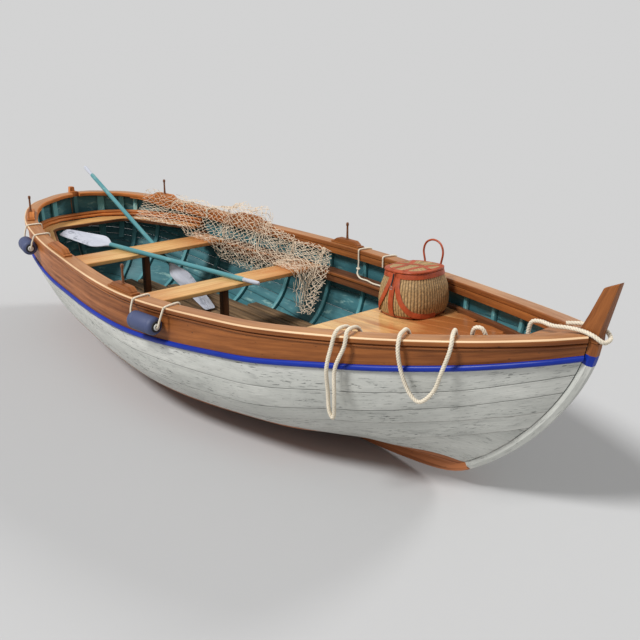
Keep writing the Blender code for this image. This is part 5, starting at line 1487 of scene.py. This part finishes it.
# ---------------------------------------------------------------- gear
OAR_BLADE = ((0.0, 0.030, 0.003), (0.004, 0.038, 0.0042), (0.02, 0.0456, 0.0052), (0.06, 0.050, 0.007),
             (0.12, 0.0555, 0.0085), (0.20, 0.0608, 0.0100), (0.30, 0.068, 0.0102), (0.38, 0.0745, 0.0106),
             (0.415, 0.076, 0.0108), (0.445, 0.0735, 0.0112), (0.48, 0.063, 0.0120), (0.52, 0.044, 0.0134),
             (0.55, 0.026, 0.0152), (0.575, 0.0170, 0.0165))
OAR_LOOM = ((0.575, 0.0170, 0.0165), (0.60, 0.0165, 0.0165), (1.00, 0.0165, 0.0165), (1.50, 0.0165, 0.0165),
            (1.885, 0.0165, 0.0165), (1.90, 0.0160, 0.0160), (1.905, 0.0145, 0.0145))
OAR_GRIP = ((1.905, 0.0145, 0.0145), (1.915, 0.0132, 0.0132), (1.97, 0.0145, 0.0145), (2.015, 0.0140, 0.0140),
            (2.033, 0.0130, 0.0130), (2.04, 0.0085, 0.0085))


def oar_rings(tip, along, side, flat, profile, ridged):
    rings = []
    for distance, half, deep in profile:
        ring = []
        for k in range(28):
            angle = tau * k / 28
            c, s = cos(angle), sin(angle)
            rise = deep * s
            if ridged:
                flatness = min(1.0, max(0.0, (0.575 - distance) / 0.14))
                thick = deep * (0.28 + 0.72 * (1 - abs(c)) ** 0.8)
                rise = (1 - flatness) * rise + flatness * thick * (1 if s > 0 else -1 if s < 0 else 0)
            ring.append(tip + along * distance + side * (half * c) + flat * rise)
        rings.append(ring)
    return rings


def build_oars():
    for name, (tip, towards, roll) in (("upper_oar", UPPER_OAR), ("leaning_oar", LEANING_OAR)):
        tip = Vector(tip)
        along = Vector(towards).normalized()
        flat = (Vector((0, 0, 1)) - along * along.z).normalized()
        side = flat.cross(along)
        spin = Matrix.Rotation(roll, 3, along)
        flat, side = spin @ flat, spin @ side
        made = Solid()
        for slot_index, (profile, ridged) in enumerate(((OAR_BLADE, True), (OAR_LOOM, False), (OAR_GRIP, False))):
            made.loft(oar_rings(tip, along, side, flat, profile, ridged), slot_index)
        made.piece(f"{name}_wood", [look("blade"), look("oar_teal"), look("blade")], body=name, replaces=[name],
                   slot="teal_paint", smooth=32)


def creel_point(angle, half_width, height):
    cx, cy = CREEL_AT
    power = abs(cos(angle)) ** CREEL_POWER + abs(sin(angle)) ** CREEL_POWER
    reach = half_width * power ** (-1 / CREEL_POWER)
    x = cx + reach * cos(angle)
    aft, fore = (sheer_at(cx + dx) - DECK_DROP for dx in (-CREEL_REACH, CREEL_REACH))
    deck = aft + (fore - aft) * (x - cx + CREEL_REACH) / (2 * CREEL_REACH)
    return Vector((x, cy + reach * sin(angle), deck + GAP + height))


def creel_half(height):
    return column(CREEL_WALL, 1, height / CREEL_HEIGHT)


def strap(made, path, width, thick=0.003, stand=0.0042, wall=True, steps=40):
    """A leather strap along angles and heights on the creel's wall, or x and y on its lid."""
    if wall:
        def at(u, v, out):
            return creel_point(u, creel_half(v) + out, v)
    else:
        def at(u, v, out):
            flat = creel_point(0.0, 0.0, 0.0)
            rise = (creel_point(0, 0.1, 0.0).z - creel_point(pi, 0.1, 0.0).z) / 0.2
            return Vector((flat.x + u, flat.y + v, flat.z + CREEL_HEIGHT + LID_THICK + GAP + out + rise * u))
    line = smooth_route([(u, v, 0.0) for u, v in path], 1e9)
    dense = [(p.x, p.y) for p in even_route(smooth_route([(u, v, 0.0) for u, v in path], 0.004), 0.01)[0]]
    rings = []
    for k, (u, v) in enumerate(dense):
        a, b = at(*dense[max(0, k - 1)], 0.0), at(*dense[min(len(dense) - 1, k + 1)], 0.0)
        run = (b - a).normalized()
        here = at(u, v, stand)
        out = (at(u, v, 0.02) - at(u, v, 0.0)).normalized()
        across = run.cross(out).normalized()
        ring = []
        for s, h in ((-0.5, 0.0), (-0.5, 0.7), (-0.42, 1.0), (0.42, 1.0), (0.5, 0.7), (0.5, 0.0)):
            ring.append(here + across * (width * s) + out * (thick * h))
        rings.append(ring)
    made.loft(rings)


def build_creel():
    columns = measure().cane_columns
    across, rows = columns * 6, 76
    turn_height = measure().cane_height
    made = Solid()
    rings, marks = [], []
    for r in range(rows + 1):
        height = CREEL_HEIGHT * r / rows
        ring = []
        for k in range(across):
            angle = tau * k / across
            place = columns * angle / tau
            inside = place % 1.0
            crown = sin(pi * inside) ** 0.7
            strand = abs(sin(pi * (height / turn_height + 0.55 * (inside - 0.5) + 0.5 * (int(place) % 2))))
            lift = crown * (0.35 + 0.65 * strand ** 0.7)
            ring.append(creel_point(angle, creel_half(height) - 0.0015 + 0.0032 * lift, height))
            marks.append(lift)
        rings.append(ring)
    made.loft(rings, caps=False)
    made.rims = marks
    inner = []
    for height in (CREEL_HEIGHT, CREEL_HEIGHT * 0.6, 0.008):
        inner.append([creel_point(tau * k / 60, creel_half(height) - 0.006, height) for k in range(60)])
    made.loft(inner, caps=True, rims=[0.5] * 60)
    made.piece("creel_basket", [look("cane")], body="creel", replaces=["creel_body"], slot="wicker", smooth=50)
    hide = Solid()
    for low, high, stand in ((0.222, 0.2515, 0.0035), (0.002, 0.014, 0.003)):
        rings = []
        for height, out in ((low, 0.0), (low + 0.001, stand), ((low + high) / 2, stand + 0.0012), (high - 0.001, stand),
                            (high, 0.0)):
            rings.append([creel_point(tau * k / 72, creel_half(height) + out, height) for k in range(72)])
        hide.loft(rings, caps=False)
    front = -pi / 2
    strap(hide, ((front, 0.232), (front, 0.16), (front, 0.08), (front, 0.006)), 0.036)
    for way in (-1, 1):
        strap(hide, ((front + way * 0.16, 0.226), (front + way * 0.24, 0.16), (front + way * 0.42, 0.09),
                     (front + way * 0.72, 0.035), (front + way * 1.10, 0.018), (front + way * 1.55, 0.016)), 0.030)
    strap(hide, ((front - 0.02, 0.255), (front - 0.02, 0.21), (front - 0.02, 0.17)), 0.016, stand=0.008)
    hide.piece("creel_straps", [look("leather")], body="creel", slot="leather", smooth=40)
    clasp = Solid()
    strap(clasp, ((front - 0.02, 0.246), (front - 0.02, 0.215), (front - 0.02, 0.185)), 0.009, thick=0.004, stand=0.012)
    clasp.piece("creel_clasp", [look("rubber")], body="creel", slot="leather", smooth=40)
    ring = [creel_point(front - 0.02 + 0.05 * sin(tau * k / 20), creel_half(0.18) + 0.012, 0.172 + 0.011 * cos(tau * k / 20))
            for k in range(21)]
    laid_rope("creel_ring", ring, 0.0016, look("steel"), body="creel", slot="leather")
    build_creel_lid()
    build_creel_handle()


def build_creel_lid():
    half = CREEL_WALL[-1][1] + LID_LIP
    seat = CREEL_HEIGHT + GAP
    made = Solid()
    rings = []
    fuller = [min(max(0.3 - sin(tau * k / 72), 0.0), 1.0) * 0.0035 for k in range(72)]
    drawn_in = [min(max(sin(tau * k / 72) - 0.85, 0.0) / 0.1, 1.0) * 0.0055 for k in range(72)]
    for out, more, rise in ((0.0, 0, 0.0005), (0.001, 1, 0.002), (0.001, 1.2, 0.006), (0.0, 1, 0.0102),
                            (-0.006, 0.4, 0.0130), (-0.016, 0, 0.0140), (-0.022, 0, 0.0142), (-0.0235, 0, 0.013)):
        rings.append([creel_point(tau * k / 72, half + out + more * fuller[k] - drawn_in[k], seat + rise)
                      for k in range(72)])
    made.loft(rings, caps=False)
    made.loft([rings[0], [creel_point(tau * k / 72, half - 0.03, seat + 0.0005) for k in range(72)],
               [creel_point(tau * k / 72, 0.002, seat + 0.0005) for k in range(72)]], caps=False)
    made.piece("creel_lid_rim", [look("leather")], body="creel_cover", replaces=["creel_lid"], slot="leather",
               smooth=50)
    weave = Solid()
    rings, marks = [], []
    across = 180
    reaches = evenly(0.002, half - 0.021, 44)
    for r, reach in enumerate(reaches):
        ring = []
        for k in range(across):
            angle = tau * k / across
            p = creel_point(angle, reach, 0.0)
            a, b = p.x / 0.0085, p.y / 0.012
            lift = abs(sin(pi * a)) ** 0.7 * (0.4 + 0.6 * abs(sin(pi * (b + 0.5 * (int(a) % 2)))))
            ring.append(creel_point(angle, reach, seat + 0.0125 + 0.0022 * lift))
            marks.append(lift)
        rings.append(ring)
    weave.loft(rings, caps=False)
    weave.rims = marks
    weave.piece("creel_lid_weave", [look("cane")], body="creel_cover", slot="wicker", smooth=50)
    bands = Solid()
    reach = half - 0.018
    for path in (((-reach, -0.02), (0.0, 0.03), (reach, -0.02)), ((-0.045, -reach), (-0.05, 0.0), (-0.10, reach * 0.8)),
                 ((0.045, -reach), (0.05, 0.0), (0.10, reach * 0.8))):
        strap(bands, path, 0.026, thick=0.0015, stand=-0.0015, wall=False)
    bands.piece("creel_lid_bands", [look("leather")], body="creel_cover", slot="leather", smooth=40)


def build_creel_handle():
    half_width = CREEL_WALL[-1][1]
    hinge = creel_point(pi / 2, half_width, CREEL_HEIGHT)
    along = (creel_point(0, half_width, CREEL_HEIGHT) - creel_point(pi, half_width, CREEL_HEIGHT)).normalized()
    height = CREEL_HEIGHT - HANDLE_DROP
    upright = Vector((0, 0, HANDLE_RISE))
    aft = along * -HANDLE_SHIFT
    back = hinge + aft + Vector((0, HANDLE_BACK, 0))
    legs = [back + along * (HANDLE_HALF * k) for k in (-1, 1)]
    feet = []
    for k in (-1, 1):
        foot = creel_point(pi / 2, creel_half(height) + HANDLE_RADIUS + GAP, height) + aft
        feet.append(foot + along * (HANDLE_HALF * k) - Vector((0, HANDLE_FOOT_IN, 0)))
    wide = [back + along * (HANDLE_HALF * 1.22 * k) for k in (-1, 1)]
    loop = [feet[0], legs[0], wide[0] + upright * 0.5, wide[0].lerp(back, 0.28) + upright * 0.86, back + upright,
            wide[1].lerp(back, 0.28) + upright * 0.86, wide[1] + upright * 0.5, legs[1], feet[1]]
    route, _ = even_route(smooth_route(loop, 0.01), 0.005)
    rings = []
    for point, (side, over) in zip(route, carried_frames(route)):
        rings.append([point + side * (HANDLE_RADIUS * cos(tau * s / 12)) + over * (HANDLE_RADIUS * sin(tau * s / 12))
                      for s in range(12)])
    Solid().loft(rings).piece("creel_loop", [look("leather")], body="creel", replaces=["creel_handle"],
                              slot="leather", smooth=60)


def net_path(x, over, lift, reach, drop):
    """Points across the net, from outboard to inboard, as breadth and height."""
    cap_out, cap_in = cap_edge(x, -CAP_OVERHANG), cap_edge(x, CAP_WIDTH - CAP_OVERHANG)
    top = cap_top(x) + lift
    if x < LEDGE_RANGE[0] + 0.012:
        ledge, ledge_in = BENCH_TOP, fitted(x, BENCH_TOP) - BENCH_ARM
    else:
        ledge = ledge_top(x)
        ledge_in = fitted(x, ledge) - LEDGE_WIDTH
    begin = [(cap_out - 0.004, top), ((cap_out + cap_in) / 2, top), (cap_in - 0.012, top - 0.001)]
    if not over:
        begin = [(cap_in - 0.010, top), (cap_in - 0.013, top - 0.002), (cap_in - 0.016, top - 0.005)]
    path = begin + [(cap_in - 0.026, ledge + 0.10), (ledge_in - 0.004, ledge + 0.022),
                    (ledge_in - 0.026, ledge + 0.012), (ledge_in - reach, ledge - drop)]
    return [Vector((x, y, z)) for y, z in path]


# middle, half length and height of the folds that stand up over the cap
NET_ARCS = ((-1.93, 0.10, 0.055), (-1.76, 0.08, 0.030), (-1.58, 0.09, 0.022), (-1.06, 0.10, 0.045), (-0.86, 0.09, 0.060))


class NetSurface:
    """The draped net as a surface of two measures: along the boat and across the net, in metres."""

    def __init__(self, seed, rumple):
        self.rows = []
        for a, b in zip(NET_SPANS, NET_SPANS[1:]):
            first, second = net_path(*a), net_path(*b)
            steps = max(1, round((b[0] - a[0]) / 0.03))
            for k in range(steps):
                t = k / steps
                self.rows.append([p.lerp(q, t) for p, q in zip(first, second)])
        self.rows.append(net_path(*NET_SPANS[-1]))
        self.walk = [0.0]
        for a, b in zip(self.rows, self.rows[1:]):
            self.walk.append(self.walk[-1] + ((a[0] - b[0]).length + (a[-1] - b[-1]).length) / 2)
        self.low, self.high = 0.0, self.walk[-1]
        self.lengths = []
        for row in self.rows:
            walked = [0.0]
            for a, b in zip(row, row[1:]):
                walked.append(walked[-1] + (b - a).length)
            self.lengths.append(walked)
        self.seed, self.rumple = seed, rumple

    def row_at(self, x):
        k = min(max(bisect_left(self.walk, x), 1), len(self.walk) - 1) - 1
        return k, min(max((x - self.walk[k]) / (self.walk[k + 1] - self.walk[k]), 0.0), 1.0)

    def at(self, x, share):
        k, t = self.row_at(x)
        points = []
        for row, walked in ((self.rows[k], self.lengths[k]), (self.rows[k + 1], self.lengths[k + 1])):
            goal = share * walked[-1]
            i = min(max(bisect_left(walked, goal), 1), len(walked) - 1)
            points.append(row[i - 1].lerp(row[i], (goal - walked[i - 1]) / max(walked[i] - walked[i - 1], 1e-9)))
        point = points[0].lerp(points[1], t)
        wander = noise.noise_vector(Vector((x * 4.0, share * 3.0, self.seed)))
        fine = noise.noise_vector(Vector((x * 15.0, share * 9.0, self.seed + 9.0)))
        shift = wander * self.rumple + fine * (self.rumple * 0.6)
        stand = 0.0
        for middle, half, rise in NET_ARCS:
            if abs(point.x - middle) < half:
                stand = max(stand, rise * (1 - ((point.x - middle) / half) ** 2) ** 0.5 * max(0.0, 1 - share * 5.0))
        return point + Vector((shift.x * 1.4, -abs(shift.y) * 0.7, abs(shift.z) * 0.9 + stand))


def twine_solid(lines, radius):
    """Slim three-sided strands along many lines."""
    made = Solid()
    for line in lines:
        rings = []
        for point, (side, over) in zip(line, carried_frames(line)):
            rings.append([point + side * (radius * cos(tau * s / 3)) + over * (radius * sin(tau * s / 3))
                          for s in range(3)])
        made.loft(rings, caps=False)
    return made


def net_lines(surface, width, pitch):
    """Twines that run aslant both ways over a surface."""
    lines = []
    for way in (-1, 1):
        for k in range(int((surface.high - surface.low + width) / pitch) + 1):
            begin = surface.low + k * pitch - (width if way > 0 else 0)
            line = []
            steps = int(width / 0.012)
            for s in range(steps + 1):
                share = s / steps
                x = begin + way * width * share
                sway = 0.16 * pitch * sin(share * width / pitch * tau)
                if surface.low <= x + sway <= surface.high - 0.5 * abs(share - 0.62) ** 3:
                    line.append(surface.at(x + sway, share))
                elif len(line) > 4:
                    lines.append(line)
                    line = []
            if len(line) > 4:
                lines.append(line)
    return lines


def build_net():
    mesh = measure().net_mesh
    for number, (seed, rumple, low) in enumerate(((3.1, 0.022, 0.0), (8.7, 0.040, 0.9))):
        surface = NetSurface(seed, rumple)
        surface.low = low
        made = twine_solid(net_lines(surface, 0.66, mesh * sqrt(2)), measure().net_twine / 2)
        made.piece(f"net_layer_{number + 1}", [look("twine")], replaces=["fishing_net"] if number == 0 else (),
                   slot="netting", smooth=None)


# ---------------------------------------------------------------- stage
def build_stage():
    scene = bpy.context.scene
    scene.view_settings.view_transform = "Standard"
    mesh = bpy.data.meshes.new("floor")
    mesh.from_pydata([(-90, -90, 0), (90, -90, 0), (90, 90, 0), (-90, 90, 0)], [], [(0, 1, 2, 3)])
    floor = bpy.data.objects.new("floor", mesh)
    floor.location.z = -0.2265
    scene.collection.objects.link(floor)
    material, n, shader = start("studio floor")
    shader.inputs["Base Color"].default_value = (FLOOR_SHADE, FLOOR_SHADE, FLOOR_SHADE, 1.0)
    shader.inputs["Roughness"].default_value = 0.95
    shader.inputs["Specular IOR Level"].default_value = 0.0
    mesh.materials.append(material)
    world = bpy.data.worlds.new("studio")
    scene.world = world
    world.use_nodes = True
    n = Nodes(world.node_tree)
    back = world.node_tree.nodes["Background"]
    seen = n.add("LightPath").outputs["Is Camera Ray"]
    lit = STUDIO_FILL + sum(energy * Vector(place).normalized().z / pi for _, place, energy, _ in STUDIO_SUNS)
    n.feed(back.inputs["Color"], (1.0, 1.0, 1.0))
    n.feed(back.inputs["Strength"], n.fit(seen, 0.0, 1.0, STUDIO_FILL, FLOOR_SHADE * lit))
    for name, place, energy, spread in STUDIO_SUNS:
        data = bpy.data.lights.new(name, "SUN")
        data.energy = energy
        data.angle = radians(spread)
        lamp = bpy.data.objects.new(name, data)
        lamp.location = place
        lamp.rotation_euler = (-Vector(place)).to_track_quat("-Z", "Y").to_euler()
        scene.collection.objects.link(lamp)


# light from all round, and each sun's name, place, strength and spread
FLOOR_SHADE = 0.50
STUDIO_FILL = 0.42
STUDIO_SUNS = (("key", (-0.5, -3.7, 4.4), 2.8, 14.0), ("far", (1.5, 5.0, 3.2), 1.2, 12.0))


# ---------------------------------------------------------------- operators
def operator(name, label, words, builders):
    """An operator class that runs its builders in order."""
    def execute(self, context):
        for builder in builders:
            builder()
        return {"FINISHED"}

    return type(f"FISHBOAT_OT_{name}", (bpy.types.Operator,), {
        "__doc__": words, "bl_idname": f"fishboat.{name}", "bl_label": label, "bl_options": {"REGISTER", "UNDO"},
        "execute": execute})


OPERATORS = (
    operator("camera", "Camera", "Place the camera", (aim_camera,)),
    operator("mooring_line", "Mooring line", "Lay the mooring line", (build_mooring_line,)),
    operator("planking", "Planking", "Build the eight planks of each side", (build_planking,)),
    operator("gunwale", "Gunwale", "Build caps, inwales, beads and rubbing bands", (build_gunwale,)),
    operator("backbone", "Backbone", "Build stem, keel, sternpost and breasthook", (build_backbone, build_breasthook)),
    operator("ribs", "Ribs", "Build the bent ribs", (build_ribs,)),
    operator("seats", "Seats", "Build ledges, thwarts and the stern bench", (build_ledges, build_thwarts, build_bench)),
    operator("decks", "Decks", "Build the foredeck and the bottom boards", (build_foredeck, build_floor)),
    operator("thole_blocks", "Thole blocks", "Build thole blocks and pins", (build_thole_blocks,)),
    operator("fenders", "Fenders", "Build fenders and their lashings", (build_fenders, build_lashing_tail)),
    operator("oars", "Oars", "Build both oars", (build_oars,)),
    operator("creel", "Creel", "Weave the creel with its lid, straps and loop", (build_creel,)),
    operator("net", "Net", "Drape the fishing net", (build_net,)),
    operator("stage", "Stage", "Set floor, lamps and background", (build_stage,)),
)


class FISHBOAT_PT_panel(bpy.types.Panel):
    """Lists the operators and the settings."""
    bl_label = "Fishing boat"
    bl_space_type = "VIEW_3D"
    bl_region_type = "UI"
    bl_category = "Fishing boat"

    def draw(self, context):
        layout = self.layout
        for made in OPERATORS:
            layout.operator(made.bl_idname)
        for group_of in (context.scene.fishing_boat_sizes, context.scene.fishing_boat_colours):
            box = layout.box()
            for key in group_of.bl_rna.properties.keys():
                if key not in ("rna_type", "name"):
                    box.prop(group_of, key)


CLASSES = (FishingBoatSizes, FishingBoatColours, *OPERATORS, FISHBOAT_PT_panel)


def register():
    for made in CLASSES:
        bpy.utils.register_class(made)
    bpy.types.Scene.fishing_boat_sizes = PointerProperty(type=FishingBoatSizes)
    bpy.types.Scene.fishing_boat_colours = PointerProperty(type=FishingBoatColours)


def unregister():
    del bpy.types.Scene.fishing_boat_colours
    del bpy.types.Scene.fishing_boat_sizes
    for made in reversed(CLASSES):
        bpy.utils.unregister_class(made)


def main():
    register()
    for made in OPERATORS:
        section, name = made.bl_idname.split(".")
        getattr(getattr(bpy.ops, section), name)()


if __name__ == "__main__":
    main()
